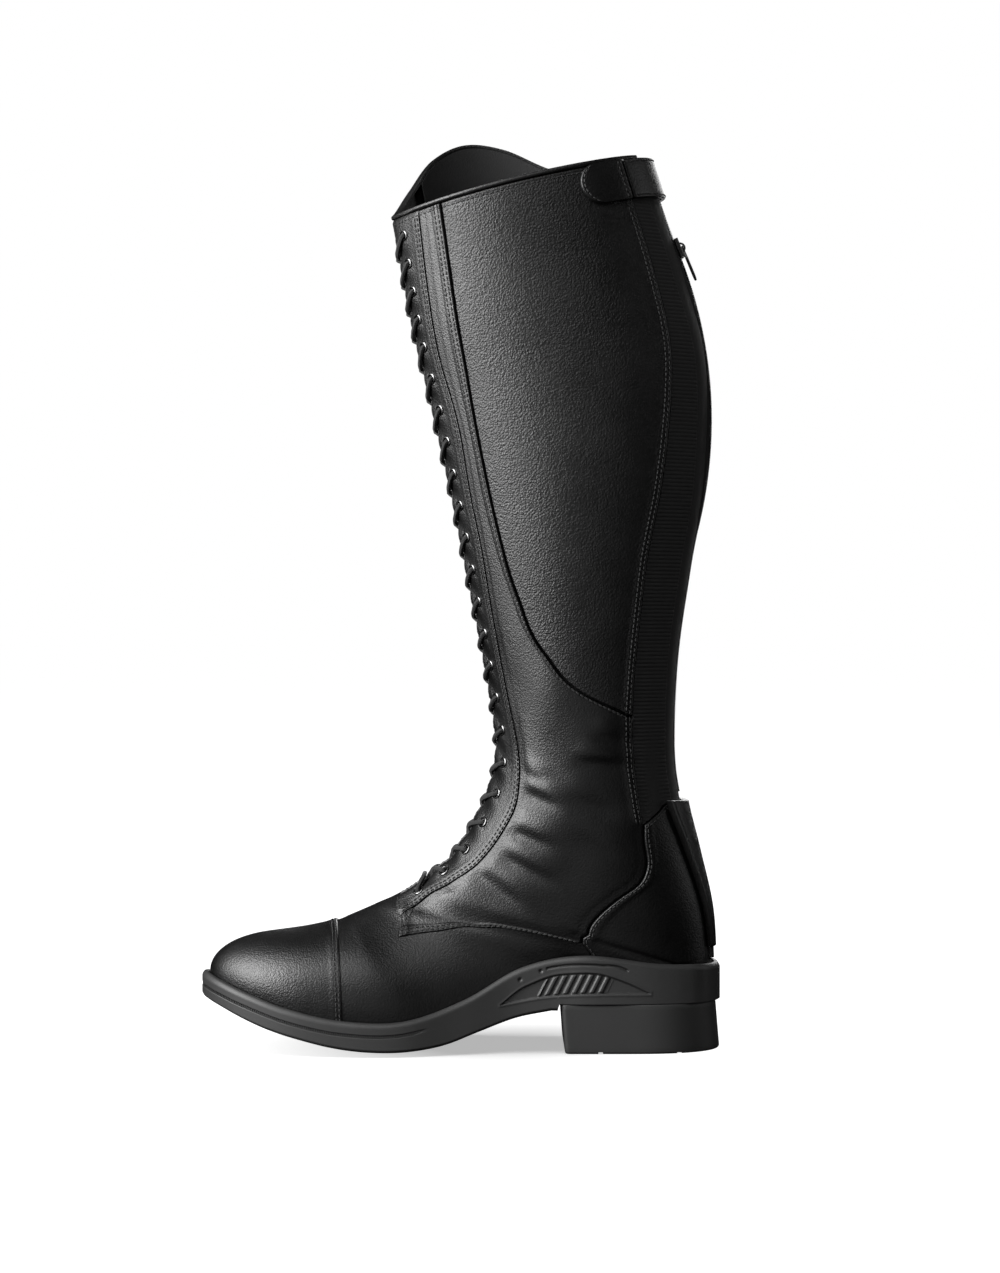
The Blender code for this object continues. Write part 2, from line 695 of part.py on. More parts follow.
def make_elastic(name, side):
    rows = CALF_ROWS + ANKLE_ROWS
    knee = CALF_ROWS / rows

    def wrap(p, q, lift):
        t_head = mix(elastic_seam(TOPLINE), back_girth(TOPLINE, ZIP_HALF_WIDTH), p)
        t_foot = mix(elastic_seam(COUNTER_HEAD), back_girth(COUNTER_HEAD, ZIP_HALF_WIDTH), p)
        head, foot = top_section(t_head, side) + SECTION_GAP, counter_head(t_foot) - SEAM_STEP
        upper, lower = mix(head, CALF_FOOT, q / knee), mix(CALF_FOOT, foot, (q - knee) / (1.0 - knee))
        s = np.where(q < knee, upper, lower)
        t = mix(elastic_seam(s) + GIRTH_GAP, back_girth(s, ZIP_HALF_WIDTH) - GIRTH_GAP, p)
        return surface(s, side * t, lift)

    sheet("elastic_gusset_" + name, wrap, 2, rows, UPPER, ELASTIC)


def make_zip_tape(name, side):
    def wrap(p, q, lift):
        s = mix(TOPLINE + SECTION_GAP, counter_head(1.0) - 2 * SECTION_GAP, q)
        t = mix(back_girth(s, ZIP_HALF_WIDTH) + GIRTH_GAP, back_girth(s, TAPE_INNER), p)
        return surface(s, side * t, lift)

    sheet("zip_tape_" + name, wrap, 2, 14, TAPE, TAPE_CLOTH)


def back_strip(s, y, lift):
    """Point at a signed distance y from the back line."""
    side = np.where(y < 0, -1.0, 1.0)
    return surface(s, side * back_girth(s, np.abs(y)), lift)


def arc_rise(s):
    """Offset from the back line to the zip arc, where the two run side by side."""
    back = last(s, 1.0 + 0.0 * s)
    away = np.hypot(back[:, 0] - ZIP_ARC_CENTRE[0], back[:, 2] - ZIP_ARC_CENTRE[1])
    return np.clip(ZIP_ARC_RADIUS - away, -ARC_RISE_LIMIT, ARC_RISE_LIMIT)


def make_zip_chain():
    def wrap(p, q, lift):
        y = mix(-CHAIN_HALF_WIDTH, CHAIN_HALF_WIDTH, p)
        crown = 1.0 - (y / CHAIN_HALF_WIDTH) ** 2
        s = mix(TOPLINE + SEAM_STEP, CHAIN_FOOT, q)
        return back_strip(s, y, lift + arc_rise(s) - CHAIN_CROWN * (1.0 - crown))

    sheet("zip_chain", wrap, 2, 16, CHAIN, CHAIN_PLASTIC)


def make_counter(name, side):
    rows = COUNTER_ROWS + TAIL_ROWS
    rungs = (0.0, COUNTER_ROWS / rows, 1.0)
    front_s = (COUNTER_HEAD, VAMP_TAIL, WAIST)
    back_s = (float(counter_head(1.0)), HEEL_SEAT, WAIST - COUNTER_HEEL)
    tail_t = float(counter_seam(VAMP_TAIL))

    def wrap(p, q, lift):
        front, back = np.interp(q, rungs, front_s), np.interp(q, rungs, back_s)
        tail = np.interp(q, rungs, (0.0, tail_t, UPPER_FOOT))
        front_t = np.where(q < rungs[1], counter_seam(front), tail)
        at_back = back_girth(np.minimum(back, HEEL_SEAT), BACK_SEAM_GAP)
        back_t = np.where(back < HEEL_SEAT, at_back, UPPER_FOOT)
        t = np.minimum(mix(front_t + 2 * GIRTH_GAP, back_t, p), UPPER_FOOT)
        return surface(mix(front, back, p), side * t, lift)

    sheet("heel_counter_" + name, wrap, 5, rows, OVERLAY, LEATHER)


def make_counter_stiffener():
    def wrap(p, q, lift):
        y = mix(-STIFFENER_HALF_WIDTH, STIFFENER_HALF_WIDTH, p)
        return back_strip(mix(*STIFFENER_SPAN, q), y, lift)

    sheet("counter_stiffener", wrap, 8, 4, STIFFENER, BOARD)


def make_zip_guard():
    def wrap(p, q, lift):
        width = mix(*GUARD_HALF_WIDTH, q)
        fold = GUARD_FOLD_RISE * fade(np.abs(2 * p - 1), *GUARD_FOLD)
        return back_strip(mix(*GUARD_SPAN, q), mix(-width, width, p), lift + fold)

    sheet("zip_guard", wrap, 8, 6, GUARD, LEATHER)


def make_heel_back_tab():
    def wrap(p, q, lift):
        y = mix(-BACK_TAB_HALF_WIDTH, BACK_TAB_HALF_WIDTH, p)
        return back_strip(mix(*BACK_TAB_SPAN, q), y, lift)

    sheet("heel_back_tab", wrap, 4, 2, BACK_TAB, LEATHER)


def make_binding(name, side):
    def wrap(p, q, lift):
        t = mix(front_girth(TOPLINE, FACING_GAP / 2), back_girth(TOPLINE, ZIP_HALF_WIDTH), q)
        s = top_section(t, side) - mix(BINDING_HEIGHT / SECTION_PITCH, SECTION_GAP / 2, p)
        return surface(s, side * t, lift)

    sheet("topline_binding_" + name, wrap, 1, 20, BINDING, LEATHER)


def make_tongue():
    def wrap(p, q, lift):
        v = 2.0 * p - 1.0
        s = mix(TOPLINE + SEAM_STEP, TONGUE_FOOT, q)
        reach = facing_seam(s) * TONGUE_REACH
        left, right = surface(s, -reach, lift), surface(s, reach, lift)
        ahead = unit(np.stack([FRONT_X(s) - END_X(s), 0.0 * s, FRONT_Z(s) - END_Z(s)], -1))
        axis = mix(ahead, np.array(INSTEP_NORMAL), fade(s, ANKLE, HEEL_SEAT)[:, None])
        ridge = last(s, 0.0 * s) + axis * lift
        bow = (left + right) / 2 - ridge
        return ridge + (right - left) / 2 * v[:, None] + bow * (v ** 2)[:, None]

    sheet("tongue", wrap, 4, 16, TONGUE, TONGUE_LEATHER)


def lace_route():
    """Points of the lace: tucked tail, up and down through every eyelet, bar at the foot, other tail."""
    over = OVERLAY[0] + LACE_CLEARANCE + LACE_RADIUS
    under = OVERLAY[0] - OVERLAY[1] - LACE_CLEARANCE - LACE_RADIUS
    places = {side: facing_place(side) for side in (-1, 1)}
    length = places[1][1]
    rows = eyelet_rows(length)[::-1]

    def spot(side, row, p, lift):
        return places[side][0](p, row, lift - OVERLAY[0])

    def crossing(side, low, high, lead):
        """From the eyelet at low on one side, under its facing, over the other, to high."""
        rise = mix(*LACE_RISE, fade(low, INSTEP_ROW, 1.0))
        mid = mix(low, high, LACE_MIDDLE * rise)
        under_edge = spot(side, mix(low, high, LACE_UNDER * rise), LACE_EDGE, under)
        over_edge = spot(-side, mix(low, high, rise), LACE_EDGE, over)
        gap = (spot(side, mid, 0.0, 0.0) + spot(-side, mid, 0.0, 0.0)) / 2
        out = spot(side, mid, 0.0, 1.0) + spot(-side, mid, 0.0, 1.0) - 2 * gap
        out /= np.linalg.norm(out)
        level = (under + over) / 2 + lead * LACE_CROSSING
        return [under_edge, gap + out * level, over_edge]

    def eyelet(side, row):
        return [spot(side, row, EYELET_PLACE, lift) for lift in (over + EYELET_RIM, under - EYELET_RIM)]

    def climb(side, lead):
        points = eyelet(side, rows[0])
        for number in range(EYELETS - 1):
            points += crossing(side, rows[number], rows[number + 1], lead)
            side, lead = -side, -lead
            points += eyelet(side, rows[number + 1])
        tail = LACE_TAIL / length
        return points + [spot(side, rows[-1] + f * tail, p, under - LACE_TUCK_DEPTH) for f, p in LACE_TUCK]

    bar_row = rows[0] - BAR_STEP / length
    bar_lift = over + 2 * EYELET_RIM
    middle = (spot(-1, bar_row, 0.0, bar_lift) + spot(1, bar_row, 0.0, bar_lift)) / 2
    bar = [spot(-1, bar_row, BAR_EDGE, bar_lift), middle, spot(1, bar_row, BAR_EDGE, bar_lift)]
    return climb(-1, 1.0)[::-1] + bar + climb(1, -1.0)


def make_lace():
    route = lace_route()
    curve = bpy.data.curves.new("lace", "CURVE")
    curve.dimensions = "3D"
    curve.bevel_depth = LACE_RADIUS * MM
    curve.bevel_resolution = 1
    curve.use_fill_caps = True
    spline = curve.splines.new("POLY")
    spline.points.add(len(route) - 1)
    for point, place in zip(spline.points, route):
        point.co = (*(place * MM), 1.0)
    curve.materials.append(LACE_CORD)
    BOOT.objects.link(bpy.data.objects.new("lace", curve))


def feather(s):
    """Feather line, medial side, with the outward direction in plan."""
    step = 0.01
    tangent = last(s + step, -1.0) - last(s - step, -1.0)
    outward = np.stack([-tangent[:, 1], tangent[:, 0], 0.0 * s], -1)
    outward[:, :2] /= np.linalg.norm(outward[:, :2], axis=-1, keepdims=True)
    return last(s, -1.0), outward


def mirror_side(points, swing):
    flipped = points.copy()
    flipped[:, 1] = -points[:, 1] - 2 * swing
    return flipped


def feather_section(x):
    """Section number where the feather line passes a place along the foot."""
    s = np.linspace(HEEL_SEAT, TOE_TIP, 401)
    return np.interp(-np.asarray(x, float), -END_X(s), s)


def sole_stations():
    """Section numbers round the sole, closer together at the heel, its breast and the toe."""
    breast = feather_section([BREAST_STEP + BREAST_BAND, BREAST_STEP - BREAST_BAND])
    return np.concatenate([HEEL_STATIONS, breast, np.linspace(*FOOT_STATIONS), TOE_STATIONS])


def lip_reach(edge, out):
    """How far the upper bulges out past the feather line within the height of the sole's lip."""
    s, w = np.meshgrid(np.linspace(HEEL_SEAT - 1.0, TOE_TIP, 240), np.linspace(*LIP_GIRTH, 60))
    away = last(s, w).reshape(-1, 1, 3) - edge
    along = np.abs(away[..., 0] * out[:, 1] - away[..., 1] * out[:, 0])
    close = (along < LIP_REACH) & (np.abs(away[..., 2]) < SOLE_TUCK + LIP_MARGIN)
    return np.where(close, (away * out).sum(axis=-1), 0.0).max(axis=0)


def make_outsole():
    s = sole_stations()
    edge, out = feather(s)
    out[0], out[-1] = (1.0, 0.0, 0.0), (-1.0, 0.0, 0.0)
    wall = edge + out * (lip_reach(edge, out) + SOLE_CLEARANCE)[:, None]
    lip = wall.copy()
    lip[:, 2] += SOLE_TUCK
    bottom = smooth(SOLE_BOTTOM_X, SOLE_BOTTOM_Z)(edge[:, 0])
    at_heel = edge[:, 0] > BREAST_STEP
    bottom = np.where(at_heel, HEEL_TOP + CLEARANCE, bottom)
    up = np.array([0.0, 0.0, 1.0])

    def level(points, z):
        placed = points.copy()
        placed[:, 2] = z
        return placed

    outer = lip + out * LIP_WIDTH
    rings = [
        level(wall, edge[:, 2] - SOLE_FLOOR_DROP),
        lip,
        outer - up * LIP_FALL[0],
        outer + out * WALL_FLARE - up * LIP_FALL[1],
        level(outer + out * WALL_FLARE, bottom + SOLE_EDGE),
        level(outer - out * SOLE_EDGE, bottom),
    ]
    middle = level(edge, np.where(at_heel, bottom, np.maximum(bottom - TREAD_CROWN, 0.0)))
    middle[:, 1] = -swing_at(s)
    floor = level(edge, edge[:, 2] - SOLE_FLOOR_DROP)
    floor[:, 1] = -swing_at(s)
    loop = rings + [middle] + [mirror_side(ring, swing_at(s)) for ring in rings[::-1]] + [floor]
    loft("outsole", loop, RUBBER)


def heel_loop(height, inset):
    """Outline of the heel block at a height, from the breast round the back."""
    f = height / HEEL_TOP
    front = mix(HEEL_BREAST[1], HEEL_BREAST[0], f) + inset
    back = mix(HEEL_BACK[1], HEEL_BACK[0], f) - inset
    half = mix(HEEL_HALF_WIDTH[1], HEEL_HALF_WIDTH[0], f) - inset
    turns = np.linspace(0, math.pi / 2, 8)
    along = mix(HEEL_ROUND_FROM, back, np.clip(np.cos(turns), 0.0, 1.0) ** HEEL_ROUNDING)
    across = half * np.sin(turns) ** HEEL_ROUNDING
    straight = [((HEEL_ROUND_FROM + front) / 2, half)]
    corner = [(front + HEEL_CORNER, half), (front, half - HEEL_CORNER)]
    side = [(x, y, height) for x, y in [*zip(along, across), *straight, *corner]]
    other = [(x, -y, height) for x, y, height in side[:0:-1]]
    return np.array([side[0], *side[1:], *other])


def make_heel_block():
    levels = ((0.0, HEEL_EDGE), (HEEL_EDGE, 0.0), (HEEL_TOP / 2, 0.0), (HEEL_TOP, 0.0))
    bm = bmesh.new()
    rings = [[bm.verts.new(point * MM) for point in heel_loop(*row)] for row in levels]
    count = len(rings[0])
    for lower, upper in zip(rings, rings[1:]):
        for i in range(count):
            j = (i + 1) % count
            bm.faces.new((lower[i], lower[j], upper[j], upper[i]))
    bm.faces.new(rings[0])
    bm.faces.new(rings[-1])
    bmesh.ops.recalc_face_normals(bm, faces=bm.faces)
    block = add_mesh("heel_block", bm, RUBBER, BOOT)
    for number, place in enumerate(HEEL_GROOVES):
        cut = bmesh.new()
        width, depth = HEEL_GROOVE_SIZE
        size = Matrix.Diagonal((width * MM, 4 * HEEL_HALF_WIDTH[0] * MM, 2 * depth * MM, 1.0))
        bmesh.ops.create_cube(cut, size=1.0, matrix=Matrix.Translation((place * MM, 0.0, 0.0)) @ size)
        groove = add_mesh(f"heel_groove_cutter_{number}", cut, RUBBER, CUTTERS)
        groove.hide_render = True
        groove.display_type = "WIRE"
        carve = block.modifiers.new("Tread groove", "BOOLEAN")
        carve.operation = "DIFFERENCE"
        carve.object = groove


def bed_layer(name, rise, thickness, inset, finish):
    """Layer in the sole cup that follows the feather line at an inset."""
    s = sole_stations()
    edge, out = feather(s)
    out[0], out[-1] = (1.0, 0.0, 0.0), (-1.0, 0.0, 0.0)
    rim = edge - out * inset
    rim[0, 1], rim[-1, 1] = 0.0, edge[-1, 1]
    lower, upper = rim.copy(), rim.copy()
    lower[:, 2] += rise
    upper[:, 2] += rise + thickness
    loop = [lower, upper, mirror_side(upper, swing_at(s)), mirror_side(lower, swing_at(s))]
    loft(name, loop, finish)


def make_shank():
    """Steel strip under the insole board, following the feather line's fall from heel to ball."""
    def wrap(p, q, lift):
        x = mix(SHANK_HEEL - SHANK_LENGTH, SHANK_HEEL, q)
        y = mix(-SHANK_WIDTH / 2, SHANK_WIDTH / 2, p)
        return np.stack([x, y, END_Z(feather_section(x)) + lift], -1)

    sheet("shank", wrap, 1, 8, SHANK, STEEL)


def arc_frame(angle):
    """Frame on the zip arc: X down along the zip, Y across, Z outwards."""
    a = math.radians(angle)
    outward = Vector((math.cos(a), 0.0, math.sin(a)))
    down = Vector((math.sin(a), 0.0, -math.cos(a)))
    centre = Vector((ZIP_ARC_CENTRE[0], 0.0, ZIP_ARC_CENTRE[1]))
    place = (centre + outward * ZIP_ARC_RADIUS) * MM
    frame = Matrix.Identity(4)
    for i, column in enumerate((down, outward.cross(down), outward, place)):
        frame.col[i][:3] = column
    return frame


def make_zip_slider():
    floor, roof, skirt, cut = SLIDER_FLOOR, SLIDER_ROOF, SLIDER_SKIRT, SLIDER_CHAMFER
    wide, inner = SLIDER_HALF_WIDTH, SLIDER_HALF_WIDTH - SLIDER_FLANGE
    half = [(inner, floor), (inner, skirt), (wide, skirt), (wide, roof - cut), (wide - cut, roof)]
    channel = half + [(-x, z) for x, z in half[::-1]]
    frame = arc_frame(SLIDER_ANGLE)
    body = outline_mesh("zip_slider", [channel], SLIDER_LENGTH)
    across = Matrix(((0, 0, 1, 0), (1, 0, 0, 0), (0, 1, 0, 0), (0, 0, 0, 1)))
    bmesh.ops.transform(body, matrix=frame @ across, verts=body.verts)
    slider = add_mesh("zip_slider", body, STEEL, BOOT)
    ring = arc((0, 0), BRIDGE_OUTER, 0, 180, 9) + arc((0, 0), BRIDGE_INNER, 180, 0, 9)
    bridge = outline_mesh("slider_bridge", [ring], BRIDGE_WIDTH)
    upright = Matrix(((1, 0, 0, 0), (0, 0, -1, 0), (0, 1, 0, (roof - BRIDGE_SINK) * MM), (0, 0, 0, 1)))
    bmesh.ops.transform(bridge, matrix=frame @ upright, verts=bridge.verts)
    arch = add_mesh("slider_bridge_joiner", bridge, STEEL, CUTTERS)
    arch.hide_render = True
    arch.display_type = "WIRE"
    weld = slider.modifiers.new("Bridge", "BOOLEAN")
    weld.operation = "UNION"
    weld.object = arch
    centre = (ZIP_ARC_CENTRE[0], 0.0, ZIP_ARC_CENTRE[1])
    hang(slider, axis_empty("zip_slider_axis", centre, (0, 1, 0)))


def make_zip_pull():
    near, far, half = PULL_BAR / 2, PULL_EYE[0], PULL_HALF_WIDTH
    shoulder, neck, neck_half = PULL_NECK
    edge = [(shoulder, half), (neck, neck_half), (-near, neck_half)]
    outer = arc((PULL_LENGTH - half, 0), half, -90, 90, 9) + edge + [(x, -y) for x, y in edge[::-1]]
    eye = [(near, PULL_EYE[1]), (near, -PULL_EYE[1]), (far, -PULL_EYE[1]), (far, PULL_EYE[1])]
    plate = outline_mesh("zip_pull", [outer, eye], PULL_THICKNESS)
    frame = arc_frame(SLIDER_ANGLE) @ Matrix.Translation((0.0, 0.0, PULL_PIVOT * MM))
    bmesh.ops.transform(plate, matrix=frame, verts=plate.verts)
    pull = add_mesh("zip_pull", plate, STEEL, BOOT)
    hang(pull, axis_empty("zip_pull_axis", frame.translation / MM, (0, -1, 0)))


def strap_rise(v):
    """Height of the strap over its sewn tab, rising towards the snap."""
    return STRAP_RISE * fade(v, *STRAP_RISE_GIRTH)


def make_snap_tab():
    def wrap(p, q, lift):
        rounding = STRAP_ROUNDING * (1.0 - np.sqrt(np.clip(1.0 - (2.0 * q - 1.0) ** 2, 0.0, 1.0)))
        return surface(mix(*STRAP_SPAN, q), -mix(TAB_GIRTH[0] + rounding, TAB_GIRTH[1], p), lift)

    sheet("snap_tab", wrap, 3, 6, TAB, LEATHER)


def make_snap_strap():
    def wrap(p, q, lift):
        rounding = STRAP_ROUNDING * (1.0 - np.sqrt(np.clip(1.0 - (2.0 * q - 1.0) ** 2, 0.0, 1.0)))
        v = mix(STRAP_START - 1.0, 1.0 - STRAP_END - rounding, p)
        w = np.where(v < 0, -1.0 - v, 1.0 - v)
        return surface(mix(*STRAP_SPAN, q), w, lift + strap_rise(v))

    strap = sheet("snap_strap", wrap, 10, 6, TAB, LEATHER)
    head, foot = (surface(s, -STRAP_START, TAB[0]) for s in STRAP_SPAN)
    empty = axis_empty("snap_strap_axis", (head + foot) / 2, (head - foot) / np.linalg.norm(head - foot))
    hang(strap, empty)
    return empty


def snap_frame(lift):
    """Frame on the lateral side at the snap, Z outwards at a height over the last."""
    low, high = (surface(np.array(SNAP_SECTION), np.array(SNAP_GIRTH), h) for h in (lift, lift + 1.0))
    outward = Vector(high - low)
    turn = outward.to_track_quat("Z", "Y").to_matrix().to_4x4()
    return Matrix.Translation(Vector(low) * MM) @ turn


def make_snap(strap_axis):
    strap_out = TAB[0] + float(strap_rise(1.0 - SNAP_GIRTH))
    for name, size, lift in (("snap_cap", SNAP_CAP, strap_out), ("snap_stud", SNAP_STUD, 0.0)):
        radius, tip, height = size
        bm = bmesh.new()
        rise = Matrix.Translation((0.0, 0.0, (SNAP_GAP + height / 2) * MM))
        bmesh.ops.create_cone(bm, cap_ends=True, segments=20, radius1=radius * MM, radius2=tip * MM,
                              depth=height * MM, matrix=snap_frame(lift) @ rise)
        made = add_mesh(name, bm, STEEL, BOOT)
        if name == "snap_cap":
            hang(made, strap_axis)


clear_scene()
BOOT = new_collection("tall_riding_boot")
CUTTERS = new_collection("cutters")
LEATHER = material("smooth_leather", (0.016, 0.016, 0.017), 0.38)
CALF = material("calf_leather", (0.020, 0.020, 0.021), 0.50)
LINING = material("lining_leather", (0.030, 0.030, 0.031), 0.65)
TONGUE_LEATHER = material("tongue_leather", (0.018, 0.018, 0.019), 0.50)
ELASTIC = material("elastic_webbing", (0.014, 0.014, 0.015), 0.85)
TAPE_CLOTH = material("zip_tape_cloth", (0.014, 0.014, 0.015), 0.80)
CHAIN_PLASTIC = material("zip_chain_plastic", (0.018, 0.018, 0.019), 0.40)
LACE_CORD = material("lace_cord", (0.012, 0.012, 0.012), 0.80)
RUBBER = material("sole_rubber", (0.022, 0.022, 0.023), 0.55)
BOARD = material("fibre_board", (0.20, 0.14, 0.09), 0.90)
STEEL = material("dark_metal", (0.10, 0.10, 0.11), 0.30, 1.0)

make_outsole()
make_heel_block()
bed_layer("insole_board", BOARD_RISE, BOARD_THICKNESS, BOARD_INSET, BOARD)
bed_layer("footbed", BOARD_RISE + BOARD_THICKNESS + CLEARANCE, FOOTBED_THICKNESS, BOARD_INSET, LINING)
make_shank()
make_toe_cap()
make_toe_puff()
make_vamp()
make_vamp_lining()
make_counter_stiffener()
make_zip_chain()
make_zip_guard()
make_heel_back_tab()
make_tongue()
make_lace()
make_zip_slider()
make_zip_pull()
make_snap_tab()
make_snap(make_snap_strap())
for side_name, side_sign in SIDES.items():
    make_quarter(side_name, side_sign)
    make_quarter_lining(side_name, side_sign)
    make_facing(side_name, side_sign)
    make_calf_panel(side_name, side_sign)
    make_shaft_lining(side_name, side_sign)
    make_elastic(side_name, side_sign)
    make_zip_tape(side_name, side_sign)
    make_counter(side_name, side_sign)
    make_binding(side_name, side_sign)
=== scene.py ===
"""Looks of the tall laced riding boot: leather panels, stitching, lace, eyelets, zip, sole, studio.

Lengths are in millimetres in the part's own frame and become metres when a mesh is made. The toe
points to -X, the inner (medial) side faces -Y and Z is up.
"""
import json
import math

import bmesh
import bpy
import numpy as np
from mathutils import Matrix, Vector


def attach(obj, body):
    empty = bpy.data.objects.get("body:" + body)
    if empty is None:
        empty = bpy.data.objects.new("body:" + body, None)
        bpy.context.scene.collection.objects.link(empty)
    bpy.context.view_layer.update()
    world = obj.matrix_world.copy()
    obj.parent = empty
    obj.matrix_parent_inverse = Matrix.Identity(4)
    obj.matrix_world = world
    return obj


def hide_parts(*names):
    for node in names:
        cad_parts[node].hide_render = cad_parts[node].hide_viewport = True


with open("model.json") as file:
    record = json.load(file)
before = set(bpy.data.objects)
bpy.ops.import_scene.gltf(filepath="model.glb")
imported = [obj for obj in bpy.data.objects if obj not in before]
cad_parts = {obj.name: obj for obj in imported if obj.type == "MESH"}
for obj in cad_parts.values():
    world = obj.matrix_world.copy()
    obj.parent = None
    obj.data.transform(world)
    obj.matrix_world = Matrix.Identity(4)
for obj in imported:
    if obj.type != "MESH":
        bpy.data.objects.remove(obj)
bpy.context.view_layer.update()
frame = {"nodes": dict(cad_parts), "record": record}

MM = 0.001
MERGE = 0.00001
TINY = 1e-9
SIDES = {"medial": -1, "lateral": 1}

# Camera of the photo: level, square to the boot's inner side.
CAMERA_TARGET = (-77.8, 0.0, 227.0)
CAMERA_DISTANCE = 1600.0
CAMERA_LENS = 81.4
CAMERA_SENSOR = 36.0

# Sections of the last, from above the topline to the toe tip.
# Each row: front x, front z, end x, end z, half width.
SECTIONS = (
    (-151.0, 520.0, -16.0, 552.0, 43.0),
    (-139.5, 457.0, 4.0, 491.0, 43.5),
    (-129.0, 400.0, 24.5, 429.0, 44.0),
    (-119.0, 358.0, 37.5, 379.0, 44.0),
    (-106.5, 303.0, 36.5, 315.0, 43.0),
    (-97.5, 258.0, 28.5, 265.0, 41.5),
    (-88.5, 214.0, 21.5, 216.0, 40.0),
    (-81.5, 170.0, 19.5, 166.0, 39.0),
    (-84.5, 146.0, 23.0, 137.0, 38.5),
    (-93.5, 125.0, 30.0, 108.0, 38.0),
    (-105.5, 106.0, 37.0, 76.0, 37.0),
    (-118.0, 95.0, 39.0, 41.8, 35.5),
    (-128.0, 88.0, 31.0, 42.4, 34.5),
    (-137.0, 83.0, 8.0, 43.3, 33.0),
    (-144.0, 80.0, -32.0, 48.0, 32.0),
    (-150.0, 77.3, -66.0, 41.5, 32.0),
    (-156.0, 74.7, -98.0, 24.3, 38.0),
    (-162.0, 72.2, -130.0, 13.8, 45.0),
    (-168.0, 69.8, -162.0, 14.0, 45.0),
    (-182.0, 66.4, -190.0, 19.6, 40.5),
    (-190.0, 64.9, -212.0, 27.0, 31.0),
    (-194.5, 64.2, -226.5, 32.6, 19.5),
    (-197.0, 63.9, -234.0, 35.8, 9.0),
    (-198.0, 63.8, -236.5, 37.2, 0.0),
)
TOPLINE = 1.0
ANKLE = 7.0
HEEL_SEAT = 11
THROAT = 12.9
WAIST = 14.0
CAP_LINE = 18.0
TOE_TIP = 23.0
TOE_SWING = 5.0
SHAFT_SWEEP = 180.0
FOOT_SWEEP = 104.0
SWEEP_FALL = 1.05
SHAFT_NOSE = 1.45
NOSE_FADE = (5.0, 12.0)
SEAT_FLATTENING = 0.25
TOE_FAN = (16.5, 19.0)
LEAST_SINE = 0.3
SEAT_ZONE = ((10.6, 12.8), (10.9, 12.4))
SEAT_GIRTH = (0.55, 0.70)

# Steps and rounds of the searches on the last.
NORMAL_STEP = 0.004
CURVE_SAMPLES = 201
LOCATE_GRID = (231, 101)
LOCATE_STEP = 0.0001
LOCATE_ROUNDS = 20
LOCATE_MOVE = 0.2
HEAD_ROUNDS = 8
LINING_ROUNDS = 6

# Seams drawn on the side elevation as x, z points.
FACING_SEAM = ((-122, 459), (-117, 417), (-109, 374), (-100, 342), (-93.5, 304), (-87, 272), (-80, 230),
               (-73, 193), (-67.5, 165), (-67, 147), (-69, 134), (-76, 120), (-88, 104), (-107, 90),
               (-122.5, 80), (-133, 73))
CALF_SEAM = ((-110, 461), (-99.5, 390), (-89.5, 334), (-79, 285), (-68.5, 249), (-53.5, 217),
             (-27.5, 192), (-8, 183))
ELASTIC_SEAM = ((-12, 486), (8, 421), (16, 379), (15, 348), (4, 277), (-2.5, 226), (-5.5, 180),
                (-5, 163), (-1.5, 133), (0.5, 123))
COUNTER_SEAM = ((0.5, 124), (0.6, 117), (2, 101), (-1.5, 93), (-12.5, 85), (-23.5, 76), (-30, 66.5),
                (-33.5, 60))
VAMP_SEAM = ((-33.5, 60), (-50.5, 64), (-67, 67), (-89, 68), (-110.5, 66), (-133, 62.5))
SPANISH_GIRTH = (0.0, 0.10, 0.20, 0.30, 0.40, 0.50, 0.60, 0.70, 0.80, 1.0)
SPANISH_RISE = (0.0, 3.0, 15.0, 30.0, 35.0, 28.0, 12.0, 1.5, 0.0, 0.0)
SECTION_PITCH = 62.0
POLE_GIRTH = 0.08
POLE_FADE = (20.5, 22.0)

# Panel patterns.
CALF_ROWS = 10
ANKLE_ROWS = 3
COUNTER_ROWS = 8
WING_ROWS = 7
TAIL_ROWS = 4
VAMP_WING = 0.5
VAMP_NIB = 18 / 28
SEAM_STEP = 0.03
NIB_STEP = 0.06
THROAT_EDGE = 12.5
THROAT_TURN = 0.35
QUARTER_FRONT = (6.4, 8.0, 11.2)
COUNTER_HEEL = 0.35
COUNTER_TAIL = 14.13
COUNTER_RISE = 0.44
UPPER_FOOT = 0.985
LINING_SEAM = 8.5
LINING_STEP = 0.25
LINING_GAP = 0.01
LINING_BACK = 9.0
LINING_FOOT = 0.87
GIRTH_GAP = 0.0015
SECTION_GAP = 0.01
BACK_SEAM_GAP = 0.5

# Layers, as height of the outer face over the last and thickness, with other sizes of their pieces.
UPPER = (0.0, 1.5)
OVERLAY = (0.6, 2.1)
SHAFT_LINING = (-4.4, 1.0)
FOOT_LINING = (-4.8, 1.0)
TONGUE = (-7.4, 1.5)
TONGUE_FOOT = 13.3
TONGUE_REACH = 0.97
INSTEP_NORMAL = (-0.5, 0.0, 0.87)
GUARD = (3.8, 2.4)
GUARD_FOLD = (0.86, 0.94)
GUARD_FOLD_RISE = 0.7
GUARD_SPAN = (8.03, 10.6)
GUARD_HALF_WIDTH = (24.0, 13.0)
BACK_TAB = (2.4, 1.2)
BACK_TAB_SPAN = (10.62, 10.78)
BACK_TAB_HALF_WIDTH = 10.0
TAPE = (-1.0, 1.0)
BINDING_CENTRE = -2.1
BINDING_HALF = (2.9, 1.4)
BINDING_RISE = 1.0
BINDING_SQUARENESS = 0.6
BINDING_SIDES = 16
BINDING_STATIONS = 140

